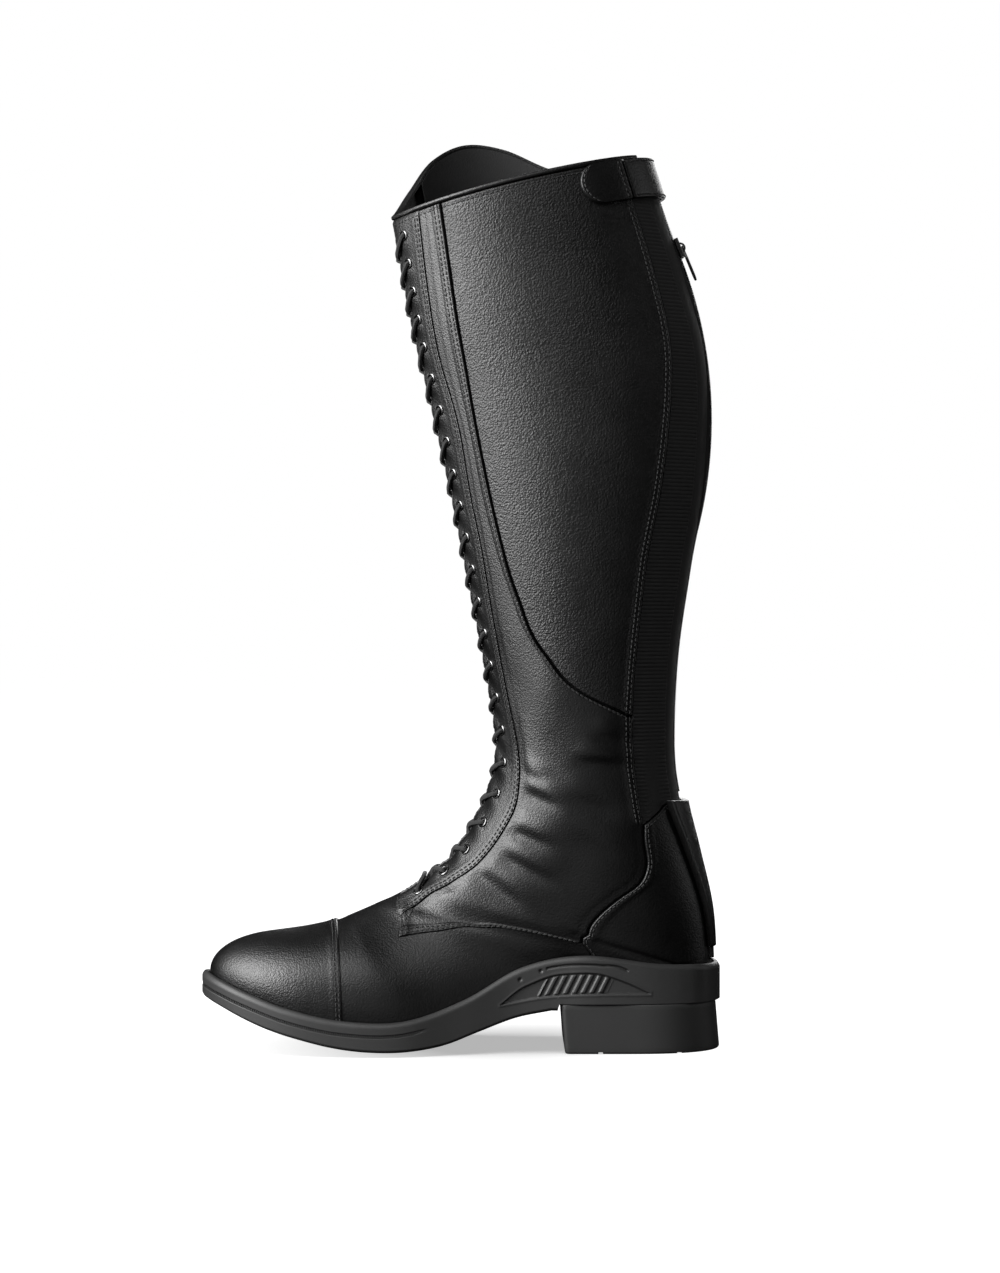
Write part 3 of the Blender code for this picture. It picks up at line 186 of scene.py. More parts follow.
# Edges and stitching.
EDGE_ROUNDING = 0.9
EDGE_OFFSETS = (0.0, 0.15, 0.4, 0.8, 1.3, 1.8, 2.3, 2.8, 3.3, 3.8, 4.4, 5.0, 6.0)
EDGE_ROOM = 2.0 * EDGE_OFFSETS[-1] + 2.0
EDGE_REACH = (7.0, 4.2)
STRETCH_FADE = 0.004
STITCH_PITCH = 2.8
STITCH_LENGTH = 2.2
STITCH_SHAPE = ((-0.5, -0.3, 0.5), (-0.32, 0.16, 0.95), (0.0, 0.24, 1.0), (0.32, 0.16, 0.95),
                (0.5, -0.3, 0.5))
STITCH_SINK = 0.14
STITCH_SINK_WIDTH = 0.75
THREAD_RADIUS = 0.36
THREAD_SIDES = 6
SHARP_ANGLE = 40.0
SAMPLES = 41
FALL_PLACES = np.linspace(0.0, 1.0, 241)
ROW_SAMPLES = 600
PANEL_STEP = 2.4
QUARTER_STEP = 1.8
LINING_PANEL_STEP = 4.0
WEBBING_ROW_STEP = 0.45

# Stretches of the panels' edges: start, end, rise at the edge, and offsets of the stitch rows.
OVERLAP_RISE = 0.55
TUCK_RISE = -0.2
DOUBLE_ROW = (1.8, 4.1)
PLAIN_EDGE = (0.0, 1.0, 0.0, ())
TUCKED_EDGE = (0.0, 1.0, TUCK_RISE, ())
LAPPED_EDGE = (0.0, 1.0, OVERLAP_RISE, DOUBLE_ROW)
TOP_EDGE = (0.0, 1.0, 0.0, (2.6,))
CAP_TOP = (0.0, 1.0, 0.2, (1.3, 3.1))
ELASTIC_REAR = (0.0, 1.0, 0.1, ())
COUNTER_FRONT = (0.0, 0.95, 0.3, (2.0,))
COUNTER_TOP = (0.0, 0.9, 0.2, (2.0,))
TAB_FRONT = (0.04, 0.96, 0.0, (1.8,))
TAB_REAR = (0.03, 0.97, 0.0, (1.0, 3.2))
STRAP_REAR = (0.06, 0.94, 0.0, (1.8,))
STRAP_LENGTH = (0.02, 0.93, 0.0, (1.8,))
FACING_FRONT = (0.008, 0.994, 0.0, (1.6,))
FACING_REAR = (0.008, 0.995, 0.25, (1.2, 3.1))
FACING_TOP = (0.1, 1.0, 0.0, (2.6,))
FACING_BASE = (0.12, 0.8, 0.3, (1.6,))

# Ankle creases on the side elevation: two ends, depth and width.
CREASES = (
    ((-38, 158.5), (-6, 156.0), 0.9, 3.4),
    ((-28, 172.5), (-6, 169.0), 0.7, 3.6),
    ((-70, 154.0), (-54, 147.0), 0.7, 3.2),
    ((-69, 143.5), (-46, 134.0), 1.1, 3.6),
    ((-76, 122.0), (-50, 112.0), 1.1, 3.8),
    ((-79, 107.5), (-50, 93.0), 1.2, 4.0),
    ((-96, 100.0), (-66, 80.0), 1.1, 4.2),
    ((-44, 139.0), (-14, 130.0), 0.6, 5.0),
    ((-40, 118.0), (-16, 106.0), 0.5, 5.5),
)
CREASE_RIDGE = (0.9, 1.9, 1.4)
CREASE_RUN = ((-0.15, 1.25), (0.3, 0.6))
CREASE_EDGE = 0.14
SWELL = (0.22, (47.0, 61.0), (38.0, 83.0))
SWELL_SPAN = ((60.0, 260.0), (80.0, 180.0))

# Lacing.
EYELETS = 23
EYELET_PROFILE = ((2.0, -1.9), (2.0, 0.2), (2.15, 0.55), (2.5, 0.75), (2.9, 0.62), (3.15, 0.3), (3.2, -0.05))
EYELET_HOLE = 2.1
EYELET_PLACE = 0.45
EYELET_BLOCK = 3.7
EYELET_RINGS = 4
PUCKER_RISE = 0.7
PUCKER_PHASE = 0.15
PUCKER_SPAN = (0.75, 0.1)
EYELET_SIDES = 32
FACING_HEAD_COLUMNS = 5
FACING_TAIL_COLUMNS = 8
FACING_ROW_STEPS = 5
FACING_GAP = 12.0
FACING_RISE = 0.03
EYELET_HEAD = 10.2
EYELET_FOOT = 15.0
CLOSE_EYELETS = 4
CLOSE_PITCH = 0.87
LACE_ENTRY = (-0.2, -0.5)
LACE_RADIUS = 1.2
LACE_CLEARANCE = -0.5
LACE_CROSSING = 0.7
LACE_EDGE = 0.0
LACE_RISE = (0.36, 0.7)
LACE_UNDER = 0.2
LACE_MIDDLE = 0.6
INSTEP_ROW = 0.8
LACE_TAIL = 45.0
LACE_TUCK = ((0.3, 0.66), (1.0, 0.68))
LACE_TUCK_DEPTH = 0.2
BAR_STEP = 5.0
BAR_EDGE = 0.1
LACE_STEP = 0.45
LACE_SIDES = 12
BRAID = (0.09, 3, 1.5)
CURVE_DENSITY = 40

# Zip and elastic at the back.
ZIP_HALF_WIDTH = 18.5
TAPE_INNER = 0.6
CHAIN_FOOT = 7.85
ZIP_ARC_CENTRE = (-208.5, 347.3)
ZIP_ARC_RADIUS = 247.4
ARC_RISE_LIMIT = 1.2
COIL_PITCH = 1.3
COIL_RADIUS = 0.38
COIL_SHAPE = ((2.7, -0.3), (2.3, 0.35), (1.5, 0.66), (0.5, 0.84), (-0.5, 0.6))
RIB_PITCH = 2.1
RIB_RISE = 0.45
ZIP_SAMPLES = 800
COIL_SIDES = 6
METAL_BEVEL = (0.15, 2)

# Snap strap round the back of the topline.
TAB = (2.9, 1.6)
STRAP_RISE = 1.6
STRAP_RISE_GIRTH = (-0.1, 0.2)
STRAP_SPAN = (1.0, 1.34)
TAB_GIRTH = (0.64, 0.776)
STRAP_START = 0.781
STRAP_END = 0.70
STRAP_ROUNDING = 0.05
SNAP_GIRTH = 0.735
SNAP_SECTION = 1.17
SNAP_GAP = 0.45
SNAP_SIDES = 48
CAP_PROFILE = ((0.0, 1.6), (2.2, 1.56), (3.8, 1.35), (4.9, 0.95), (5.2, 0.62), (5.6, 0.7), (6.2, 0.5),
               (6.5, 0.1), (6.4, 0.0), (0.0, 0.0))
STUD_PROFILE = ((0.0, 1.3), (2.6, 1.25), (3.2, 0.9), (3.0, 0.5), (4.6, 0.35), (5.0, 0.1), (4.9, 0.0),
                (0.0, 0.0))

# Sole unit.
SOLE_TUCK = 5.0
SOLE_CLEARANCE = 1.2
LIP_REACH = 4.0
LIP_MARGIN = 1.0
LIP_GIRTH = (-1.0, -0.6)
LIP_SAMPLES = (60, 240, 60)
FEATHER_STEP = 0.01
SOLE_FLOOR_DROP = 1.0
LIP_PROFILE = ((0.0, -0.2), (0.35, 0.3), (1.0, 0.5), (1.8, 0.42), (2.5, 0.05), (3.0, -0.6), (3.45, -1.3),
               (3.72, -2.0), (3.8, -2.7))
WALL_OUT = 3.8
WALL_ROWS = 56
SOLE_EDGE = 1.6
BEVEL_BULGE = 0.35
SOLE_BOTTOM_X = (-241, -225, -205, -185, -165, -147, -128, -108, -90, -70, -50)
SOLE_BOTTOM_Z = (31, 23.5, 15, 9, 4.5, 2.6, 2.8, 6, 12.5, 19.5, 23.5)
TREAD_CROWN = 2.6
TREAD_ROWS = 9
TREAD_GROOVE = (9.0, 0.28, 1.0)
TREAD_SPAN = ((-215.0, -95.0), (-209.0, -101.0))
TREAD_SLANT = 0.25
TREAD_WALL = 2.2
TREAD_START = 0.25
SOLE_SAMPLES = 3000
SOLE_STEPS = (1.2, 0.45)
FINE_SPAN = ((-86.0, 12.0), (-82.0, 8.0))
GROOVE_DROP = 6.7
GROOVE_DEPTH = 0.9
GROOVE_WIDTH = 0.75
GROOVE_END = (-116.0, -126.0)
TICK_PITCH = 1.25
TICK_SIZE = (0.55, 0.8, 1.3)
TICK_SINK = 0.55
HEEL_TOP = 26.6
HEEL_GAP = 0.3
HEEL_BREAST = (-44.5, -42.4)
BREAST_STEP = -46.0
BREAST_FADE = 0.4
HEEL_BACK = (41.7, 43.9)
HEEL_HALF_WIDTH = (37.0, 36.5)
HEEL_ROUND_FROM = -5.0
HEEL_ROUNDING = 0.85
HEEL_CORNER = 2.5
HEEL_EDGE = 1.2
HEEL_GROOVES = (-23.0, 20.0)
HEEL_GROOVE_SIZE = (2.6, 1.1, 16.0)
HEEL_JOINT = 0.35
HEEL_OUTLINE = (40, 20, 8)
HEEL_EDGE_TURN = 0.3
HEEL_EDGE_ROWS = 5
HEEL_WALL_ROWS = 12
HEEL_HEAD = (-0.4, -0.1, 0.2)
HEEL_SHARP_ANGLE = 35.0

# Crescent moulding on the waist of the sole, on the side elevation.
CRESCENT_X = (-77.2, 3.7)
CRESCENT_FOOT = ((-77.2, 26.9), (-68.0, 28.6), (-58.3, 30.4), (-41.7, 32.1), (-25.0, 32.7), (3.7, 32.7))
CRESCENT_HEAD = ((-77.2, 27.1), (-66.6, 35.4), (-58.5, 39.2), (-51.0, 42.1), (-36.7, 44.0), (-23.4, 43.6),
                 (-16.5, 41.7), (-8.4, 38.7), (3.7, 33.0))
CRESCENT_DEPTH = 0.9
CRESCENT_BEVEL = (-0.3, 0.7)
CRESCENT_RIM = (0.2, -0.7, 0.6)
CRESCENT_RIBS = (-54.5, -18.0)
CRESCENT_PITCH = 4.7
CRESCENT_SLANT = 0.5
CRESCENT_LEVEL = 37.0
RIB_SOFTNESS = 0.3
RIB_WAVE = (-0.6, 0.6)
RIB_INSET = (0.3, 1.3)
ARCH_LINE = ((-52.5, 46.5), (-46.6, 47.6), (-36.7, 48.6), (-23.3, 48.3), (-12.5, 47.2), (-8.3, 45.4))
ARCH_DOTS = ((-66.8, 40.5), (-55.5, 45.2))
ARCH_DEPTH = 0.9
ARCH_WIDTH = 0.55
DOT_RADIUS = 0.9
ARCH_SOFTNESS = 0.6

# Finishes. Textures have so many cells to a metre, and tones are shares of the finish's own tone.
NOISE_SPAN = (0.3, 0.7)
TINT_SPAN = (0.3, 0.75)
PORE_IRREGULARITY = 0.9
PORE_SPAN = (0.0, 0.8)
WRINKLES_PER_PORE = 2.3
WRINKLE_HEIGHT = 0.8
WRINKLE_SHINE = 0.05
LEATHER_CLOUDS = 28.0
LEATHER_TONES = (0.7, 1.35)
LEATHER_BLUE = 1.38
LEATHER_SHINE = (-0.05, 0.06)
LEATHER_BUMP = 0.25
THREAD_WAVE = 0.4
LINT_SCALE = 900.0
LINT_HEIGHT = 0.7
CLOTH_TONES = (0.6, 1.5)
CLOTH_SHINE = (-0.06, 0.08)
CLOTH_BUMP = 0.2
SHEEN_ROUGHNESS = 0.5
MOULD_FINE = 1400.0
MOULD_CLOUDS = 22.0
MOULD_TONES = (0.85, 1.2)
MOULD_SHINE = (-0.04, 0.05)
MOULD_BUMP = 0.1
METAL_MARKS = 700.0
METAL_TONES = (0.8, 1.15)
METAL_SHINE = (-0.06, 0.1)
FIBRE_SCALE = 600.0
FIBRE_BUMP = (0.5, 0.2)
FIBRE_DARK = 0.7
FIBRE_ROUGHNESS = 0.9

# Studio. Each lamp: name, place, target and size in metres, power in watts, and what it lights.
LAMPS = (
    ("key", (-1.2, -0.53, 0.95), (-0.07, 0.0, 0.95), (0.7, 1.4), 60.0, "boot"),
    ("upper", (-0.3, -1.05, 1.25), (-0.1, 0.0, 0.1), (0.9, 0.7), 6.0, "boot"),
    ("low", (-0.15, -0.9, 0.0), (-0.15, 0.0, 0.0), (1.0, 0.3), 0.5, "boot"),
    ("back", (0.5, 1.9, 1.0), (-0.07, 0.0, 0.25), (1.2, 1.4), 22.0, "boot"),
    ("fill", (1.7, 0.1, 0.7), (-0.07, 0.0, 0.25), (1.0, 1.4), 3.8, "boot"),
    ("floor_bounce", (-0.15, -0.55, -0.06), (-0.15, 0.0, 0.0), (1.1, 0.14), 0.5, "sole"),
    ("floor_light", (-0.1, -0.5, 2.4), (-0.07, 0.0, 0.25), (2.0, 2.0), 42.0, "floor"),
)
SOLE_PIECES = ("outsole_rubber", "welt_ticks", "heel_block_rubber")
WHITE = (1.0, 1.0, 1.0, 1.0)
FLOOR_RADIUS = 60000.0
# The floor is centred under the arch, where its painted shade is darkest.
FLOOR_CENTRE = (-78.0, 0.0, 0.0)
# Floor's glow at its centre and further out, and the distances in metres between which it rises. The low glow
# round the centre, under the arch, is painted shade that stands in for the boot's contact shadow.
PAINTED_SHADE_GLOW = (0.46, 1.0)
PAINTED_SHADE_REACH = (0.04, 0.13)
FLOOR_SIDES = 64
FLOOR_TONES = (0.80, 0.84)
FLOOR_ROUGHNESS = 0.9
PAPER_SCALE = 3.0


def smoothstep(u):
    u = np.clip(u, 0.0, 1.0)
    return u * u * (3.0 - 2.0 * u)


def fade(u, start, end):
    """Smooth rise from 0 at start to 1 at end."""
    return smoothstep((u - start) / (end - start))


def band(u, outer, inner):
    """1 between the inner ends, falling smoothly to 0 at the outer ends."""
    return fade(u, outer[0], inner[0]) * fade(u, outer[1], inner[1])


def softened(span, soft):
    """Outer and inner ends of a span with soft ends."""
    return (span[0] - soft, span[1] + soft), (span[0] + soft, span[1] - soft)


def mix(a, b, f):
    return a + (b - a) * f


def unit(vectors):
    return vectors / np.maximum(np.linalg.norm(vectors, axis=-1, keepdims=True), TINY)


def smooth(knots, values):
    """Smooth curve through values at rising knots."""
    knots = np.asarray(knots, float)
    values = np.asarray(values, float)
    slopes = np.gradient(values, knots)

    def at(u):
        u = np.clip(np.asarray(u, float), knots[0], knots[-1])
        i = np.clip(np.searchsorted(knots, u, side="right") - 1, 0, len(knots) - 2)
        span = knots[i + 1] - knots[i]
        f = (u - knots[i]) / span
        start = (1 + 2 * f) * (1 - f) ** 2 * values[i] + f * (1 - f) ** 2 * span * slopes[i]
        end = f * f * (3 - 2 * f) * values[i + 1] + f * f * (f - 1) * span * slopes[i + 1]
        return start + end

    return at


def kinked(values, corner):
    """Smooth curve with a corner at one of its section numbers."""
    before = smooth(np.arange(corner + 1), values[:corner + 1])
    after = smooth(np.arange(corner, len(values)), values[corner:])
    return lambda s: np.where(np.asarray(s) < corner, before(s), after(s))


FRONT_X, FRONT_Z, HALF = (smooth(range(len(SECTIONS)), [row[i] for row in SECTIONS]) for i in (0, 1, 4))
END_X, END_Z = (kinked([row[i] for row in SECTIONS], HEEL_SEAT) for i in (2, 3))


def sweep(s):
    """Angle that a half section turns through, half a turn on the shaft and less on the foot."""
    past = np.maximum(s - HEEL_SEAT, 0.0) / SWEEP_FALL
    return np.radians(FOOT_SWEEP + (SHAFT_SWEEP - FOOT_SWEEP) / (1.0 + past ** 2))


def nose(s):
    return SHAFT_NOSE - (SHAFT_NOSE - 1.0) * fade(s, *NOSE_FADE)


def seat(s):
    return 1.0 - SEAT_FLATTENING * (fade(s, ANKLE, HEEL_SEAT) - fade(s, HEEL_SEAT, WAIST))


def swing_at(s):
    """Sideways turn of the forefoot towards the inner side."""
    return TOE_SWING * np.clip((s - WAIST) / (TOE_TIP - WAIST), 0.0, 1.0) ** 2


def last(s, w):
    """Point of the last: s is the section number, w runs from -1 (medial end) by the front to 1."""
    s, w = np.broadcast_arrays(np.clip(s, 0.0, TOE_TIP), np.asarray(w, float))
    turn = sweep(s)
    angle = np.abs(w) * turn
    front_x, front_z, end_x, end_z = FRONT_X(s), FRONT_Z(s), END_X(s), END_Z(s)
    drop = (1.0 - np.cos(angle)) / (1.0 - np.cos(turn))
    bulge = np.clip(np.sin(angle), 0.0, 1.0) ** np.where(angle < math.pi / 2, nose(s), seat(s))
    fanned = bulge / np.maximum(np.sin(turn), LEAST_SINE)
    x = front_x + (end_x - front_x) * mix(drop, fanned, fade(s, *TOE_FAN))
    y = np.sign(w) * np.maximum(HALF(s), 0.0) * bulge
    return np.stack([x, y - swing_at(s), front_z + (end_z - front_z) * drop], -1)


def surface(s, w, lift=0.0):
    """Point at a height over the last, along its outward normal."""
    s, w = np.broadcast_arrays(np.asarray(s, float), np.asarray(w, float))
    inside = np.minimum(s, TOE_TIP - 3 * NORMAL_STEP)
    pole = POLE_GIRTH * fade(s, *POLE_FADE)
    aside = np.where(w < 0, np.minimum(w, -pole), np.maximum(w, pole))
    along = last(inside + NORMAL_STEP, aside) - last(inside - NORMAL_STEP, aside)
    ends = np.minimum(aside + NORMAL_STEP, 1.0), np.maximum(aside - NORMAL_STEP, -1.0)
    across = last(inside, ends[0]) - last(inside, ends[1])
    normal = unit(np.cross(across, along))
    level = unit(np.stack([-across[..., 1], across[..., 0], 0.0 * s], -1))
    seat_zone = band(s, *SEAT_ZONE) * fade(np.abs(w), *SEAT_GIRTH)
    normal = unit(mix(normal, level, seat_zone[..., None]))
    normal[..., 1] = np.where(s < TOE_TIP, normal[..., 1], 0.0)
    return last(s, w) + unit(normal) * np.asarray(lift, float)[..., None]


def locate(x, z):
    """Section number and girth fraction of a side elevation point."""
    rows, columns = LOCATE_GRID
    s, t = np.meshgrid(np.linspace(0, TOE_TIP, rows), np.linspace(0, 1, columns), indexing="ij")
    grid = last(s, t)
    nearest = np.argmin((grid[..., 0] - x) ** 2 + (grid[..., 2] - z) ** 2)
    s, t = s.flat[nearest], t.flat[nearest]
    for _ in range(LOCATE_ROUNDS):
        here = last(s, t)[[0, 2]]
        steps = [last(s + LOCATE_STEP, t)[[0, 2]] - here, last(s, t + LOCATE_STEP)[[0, 2]] - here]
        move = np.linalg.solve(np.stack(steps, -1) / LOCATE_STEP, np.array([x, z]) - here)
        move = np.clip(move, -LOCATE_MOVE, LOCATE_MOVE)
        s, t = s + move[0], t + move[1]
    return s, t


def seam(points):
    """Girth fraction of a seam as a smooth function of the section number."""
    return smooth(*np.array([locate(x, z) for x, z in points]).T)


facing_seam = seam(FACING_SEAM)
calf_seam = seam(CALF_SEAM)
elastic_seam = seam(ELASTIC_SEAM)
counter_seam = seam(COUNTER_SEAM)
vamp_seam = seam(VAMP_SEAM)
spanish = smooth(SPANISH_GIRTH, SPANISH_RISE)
FACING_FOOT = locate(*FACING_SEAM[-1])[0]
CALF_FOOT = locate(*CALF_SEAM[-1])[0]
COUNTER_HEAD = locate(*COUNTER_SEAM[0])[0]
VAMP_TAIL = locate(*VAMP_SEAM[0])[0]
VAMP_CORNER = locate(*VAMP_SEAM[-1])[0]


def even_rows(curve, start, end):
    """Section number at even steps along a seam, as a function of the fraction of its length."""
    s = np.linspace(start, end, CURVE_SAMPLES)
    run = lengths(last(s, curve(s)))
    return lambda q: np.interp(np.asarray(q) * run[-1], run, s)


def lengths(path):
    """Distance run along a path at each of its points."""
    return np.concatenate([[0.0], np.cumsum(np.linalg.norm(np.diff(path, axis=0), axis=-1))])


calf_rows = even_rows(calf_seam, TOPLINE, CALF_FOOT)


def calf_section(q, side):
    """Section number along the calf seam, from the topline of one side down to its foot."""
    head = seam_head(calf_seam, side) + SECTION_GAP
    return mix(head, CALF_FOOT, (calf_rows(q) - TOPLINE) / (CALF_FOOT - TOPLINE))


def front_girth(s, y):
    """Girth fraction at a distance y from the front line."""
    return np.arcsin(np.clip(y / HALF(s), 0.0, 1.0) ** (1.0 / nose(s))) / sweep(s)


def back_girth(s, y):
    """Girth fraction at a distance y from the back line of the shaft or heel."""
    return 1.0 - np.arcsin(np.clip(y / HALF(s), 0.0, 1.0) ** (1.0 / seat(s))) / math.pi


def top_section(t, side):
    """Section number of the topline."""
    rise = np.maximum(spanish(t), 0.0) if side > 0 else 0.0 * t
    return TOPLINE - rise / SECTION_PITCH


def seam_head(curve, side):
    """Section number where a seam meets the topline."""
    s = TOPLINE
    for _ in range(HEAD_ROUNDS):
        s = float(top_section(curve(s), side))
    return s


def counter_head(t):
    """Section number of the counter's top edge, rising to the guard's edge."""
    front = counter_seam(COUNTER_HEAD)
    guard = back_girth(COUNTER_HEAD, GUARD_HALF_WIDTH[0])
    return COUNTER_HEAD - COUNTER_RISE * np.clip((t - front) / (guard - front), 0.0, 1.0)


def back_strip(s, y, lift):
    """Point at a signed distance y from the back line."""
    side = np.where(y < 0, -1.0, 1.0)
    return surface(s, side * back_girth(s, np.abs(y)), lift)


class Look:
    """Material whose textures follow the part's own coordinates."""

    def __init__(self, name):
        self.made = bpy.data.materials.new(name)
        self.made.use_nodes = True
        self.nodes = self.made.node_tree.nodes
        self.links = self.made.node_tree.links
        self.shader = self.nodes["Principled BSDF"]
        self.coords = self.nodes.new("ShaderNodeTexCoord").outputs["Object"]

    def put(self, socket, value):
        """Set one of the shader's own values."""
        self.shader.inputs[socket].default_value = value

    def drive(self, socket, source):
        self.links.new(source, self.shader.inputs[socket])

    def texture(self, kind, scale, output="Fac", **values):
        node = self.nodes.new("ShaderNodeTex" + kind)
        self.links.new(self.coords, node.inputs["Vector"])
        for name, value in {"Scale": scale, **values}.items():
            node.inputs[name].default_value = value
        return node.outputs[output]

    def ranged(self, source, low, high, span=NOISE_SPAN):
        """Value from low to high as a source runs through a span."""
        node = self.nodes.new("ShaderNodeMapRange")
        self.links.new(source, node.inputs["Value"])
        for name, value in zip(("From Min", "From Max", "To Min", "To Max"), (*span, low, high)):
            node.inputs[name].default_value = value
        return node.outputs["Result"]

    def added(self, first, second, weight):
        """First plus a weight of second."""
        node = self.nodes.new("ShaderNodeMath")
        node.operation = "MULTIPLY_ADD"
        self.links.new(second, node.inputs[0])
        node.inputs[1].default_value = weight
        self.links.new(first, node.inputs[2])
        return node.outputs["Value"]

    def tint(self, source, dark, light):
        """Base colour between two tones by a source."""
        ramp = self.nodes.new("ShaderNodeValToRGB")
        for stop, place, tone in zip(ramp.color_ramp.elements, TINT_SPAN, (dark, light)):
            stop.position = place
            stop.color = (*tone, 1.0)
        self.links.new(source, ramp.inputs["Fac"])
        self.drive("Base Color", ramp.outputs["Color"])

    def shine(self, source, roughness, spread):
        """Roughness that a source spreads about a value."""
        return self.ranged(source, roughness + spread[0], roughness + spread[1])

    def bump(self, height, strength, distance):
        node = self.nodes.new("ShaderNodeBump")
        node.inputs["Strength"].default_value = strength
        node.inputs["Distance"].default_value = distance * MM
        self.links.new(height, node.inputs["Height"])
        self.drive("Normal", node.outputs["Normal"])


def greys(tone, shares):
    return [[share * tone] * 3 for share in shares]


def leather(name, tone, roughness, pores, bump, specular=0.5):
    """Grained leather: pores and fine wrinkles in the bump, clouds in the colour and the shine."""
    look = Look(name)
    cells = look.texture("Voronoi", pores, "Distance", Randomness=PORE_IRREGULARITY)
    fine = look.texture("Noise", pores * WRINKLES_PER_PORE, Detail=4.0)
    clouds = look.texture("Noise", LEATHER_CLOUDS, Detail=5.0, Roughness=0.65)
    domes = look.ranged(cells, 1.0, 0.0, PORE_SPAN)
    look.bump(look.added(domes, fine, WRINKLE_HEIGHT), bump, LEATHER_BUMP)
    dark, light = greys(tone, LEATHER_TONES)
    look.tint(clouds, dark, [*light[:2], LEATHER_BLUE * tone])
    look.drive("Roughness", look.added(look.shine(clouds, roughness, LEATHER_SHINE), fine, WRINKLE_SHINE))
    look.put("Specular IOR Level", specular)
    return look.made


def cloth(name, tone, roughness, threads, bump, sheen):
    """Woven or braided cloth: rows of threads in the bump, lint in the colour."""
    look = Look(name)
    rows = look.texture("Wave", threads, Distortion=THREAD_WAVE)
    rows.node.bands_direction = "Z"
    lint = look.texture("Noise", LINT_SCALE, Detail=3.0)
    look.bump(look.added(rows, lint, LINT_HEIGHT), bump, CLOTH_BUMP)
    look.tint(lint, *greys(tone, CLOTH_TONES))
    look.drive("Roughness", look.shine(lint, roughness, CLOTH_SHINE))
    look.put("Sheen Weight", sheen)
    look.put("Sheen Roughness", SHEEN_ROUGHNESS)
    return look.made


def moulded(name, tone, roughness, bump):
    """Moulded rubber or plastic: faint texture from the mould."""
    look = Look(name)
    clouds = look.texture("Noise", MOULD_CLOUDS, Detail=4.0)
    look.bump(look.texture("Noise", MOULD_FINE, Detail=2.0), bump, MOULD_BUMP)
    look.tint(clouds, *greys(tone, MOULD_TONES))
    look.drive("Roughness", look.shine(clouds, roughness, MOULD_SHINE))
    return look.made


def metal(name, tone, roughness):
    """Dark plated metal with faint handling marks."""
    look = Look(name)
    marks = look.texture("Noise", METAL_MARKS, Detail=4.0)
    look.tint(marks, *greys(tone, METAL_TONES))
    look.drive("Roughness", look.shine(marks, roughness, METAL_SHINE))
    look.put("Metallic", 1.0)
    return look.made


def board(name, *tone):
    """Fibre board, brown and matt."""
    look = Look(name)
    fibres = look.texture("Noise", FIBRE_SCALE, Detail=6.0)
    look.bump(fibres, *FIBRE_BUMP)
    look.tint(fibres, [FIBRE_DARK * value for value in tone], tone)
    look.put("Roughness", FIBRE_ROUGHNESS)
    return look.made


# Finish of each slot, with what its function asks for after the name.
MAKERS = {
    "smooth_leather": (leather, 0.0022, 0.37, 950.0, 0.42),
    "calf_leather": (leather, 0.0014, 0.39, 850.0, 0.80),
    "lining_leather": (leather, 0.006, 0.62, 1200.0, 0.35, 0.35),
    "tongue_leather": (leather, 0.012, 0.52, 1300.0, 0.35, 0.4),
    "elastic_webbing": (cloth, 0.010, 0.82, 1100.0, 0.4, 0.05),
    "zip_tape_cloth": (cloth, 0.010, 0.80, 800.0, 0.5, 0.06),
    "lace_cord": (cloth, 0.009, 0.72, 1300.0, 0.5, 0.10),
    "zip_chain_plastic": (moulded, 0.014, 0.36, 0.1),
    "sole_rubber": (moulded, 0.020, 0.50, 0.25),
    "dark_metal": (metal, 0.09, 0.34),
    "fibre_board": (board, 0.20, 0.14, 0.09),
}
FINISHES = {slot: maker(slot + "_look", *values) for slot, (maker, *values) in MAKERS.items()}
THREAD = cloth("thread_look", 0.016, 0.6, 2500.0, 0.3, 0.0)
EYELET_METAL = metal("eyelet_metal_look", 0.16, 0.28)
LOOKS = bpy.data.collections.new("boot_looks")
bpy.context.scene.collection.children.link(LOOKS)


def piece(name, mesh, slot, replaced=(), body="boot", finish=None):
    """Show a mesh as a piece of the boot in a slot's finish."""
    mesh.materials.clear()
    mesh.materials.append(finish or FINISHES[slot])
    made = bpy.data.objects.new(name, mesh)
    LOOKS.objects.link(made)
    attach(made, body)
    if replaced:
        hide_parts(*replaced)
    return made


def mesh_from(name, verts, faces, merge=False):
    """Smooth shaded closed mesh from points in millimetres."""
    mesh = bpy.data.meshes.new(name)
    mesh.from_pydata((np.asarray(verts) * MM).tolist(), [], [list(map(int, face)) for face in faces])
    bm = bmesh.new()
    bm.from_mesh(mesh)
    if merge:
        bmesh.ops.remove_doubles(bm, verts=bm.verts, dist=MERGE)
        bmesh.ops.dissolve_degenerate(bm, edges=bm.edges, dist=MERGE)
    bmesh.ops.recalc_face_normals(bm, faces=bm.faces)
    bm.to_mesh(mesh)
    bm.free()
    mesh.shade_smooth()
    mesh.set_sharp_from_angle(angle=math.radians(SHARP_ANGLE))
    return mesh


def strip(near, far):
    """Quads between rows of point numbers."""
    return np.stack([near[..., :-1], near[..., 1:], far[..., 1:], far[..., :-1]], -1).reshape(-1, 4)


def hoops(index):
    """Rows of point numbers, each closed by its first number."""
    return np.concatenate([index, index[..., :1]], axis=-1)


def tube_faces(count, ring):
    """Quads and end caps of a tube of rings of points."""
    index = np.arange(count * ring).reshape(count, ring)
    closed = hoops(index)
    return [*strip(closed[:-1], closed[1:]), index[0, ::-1], index[-1]]


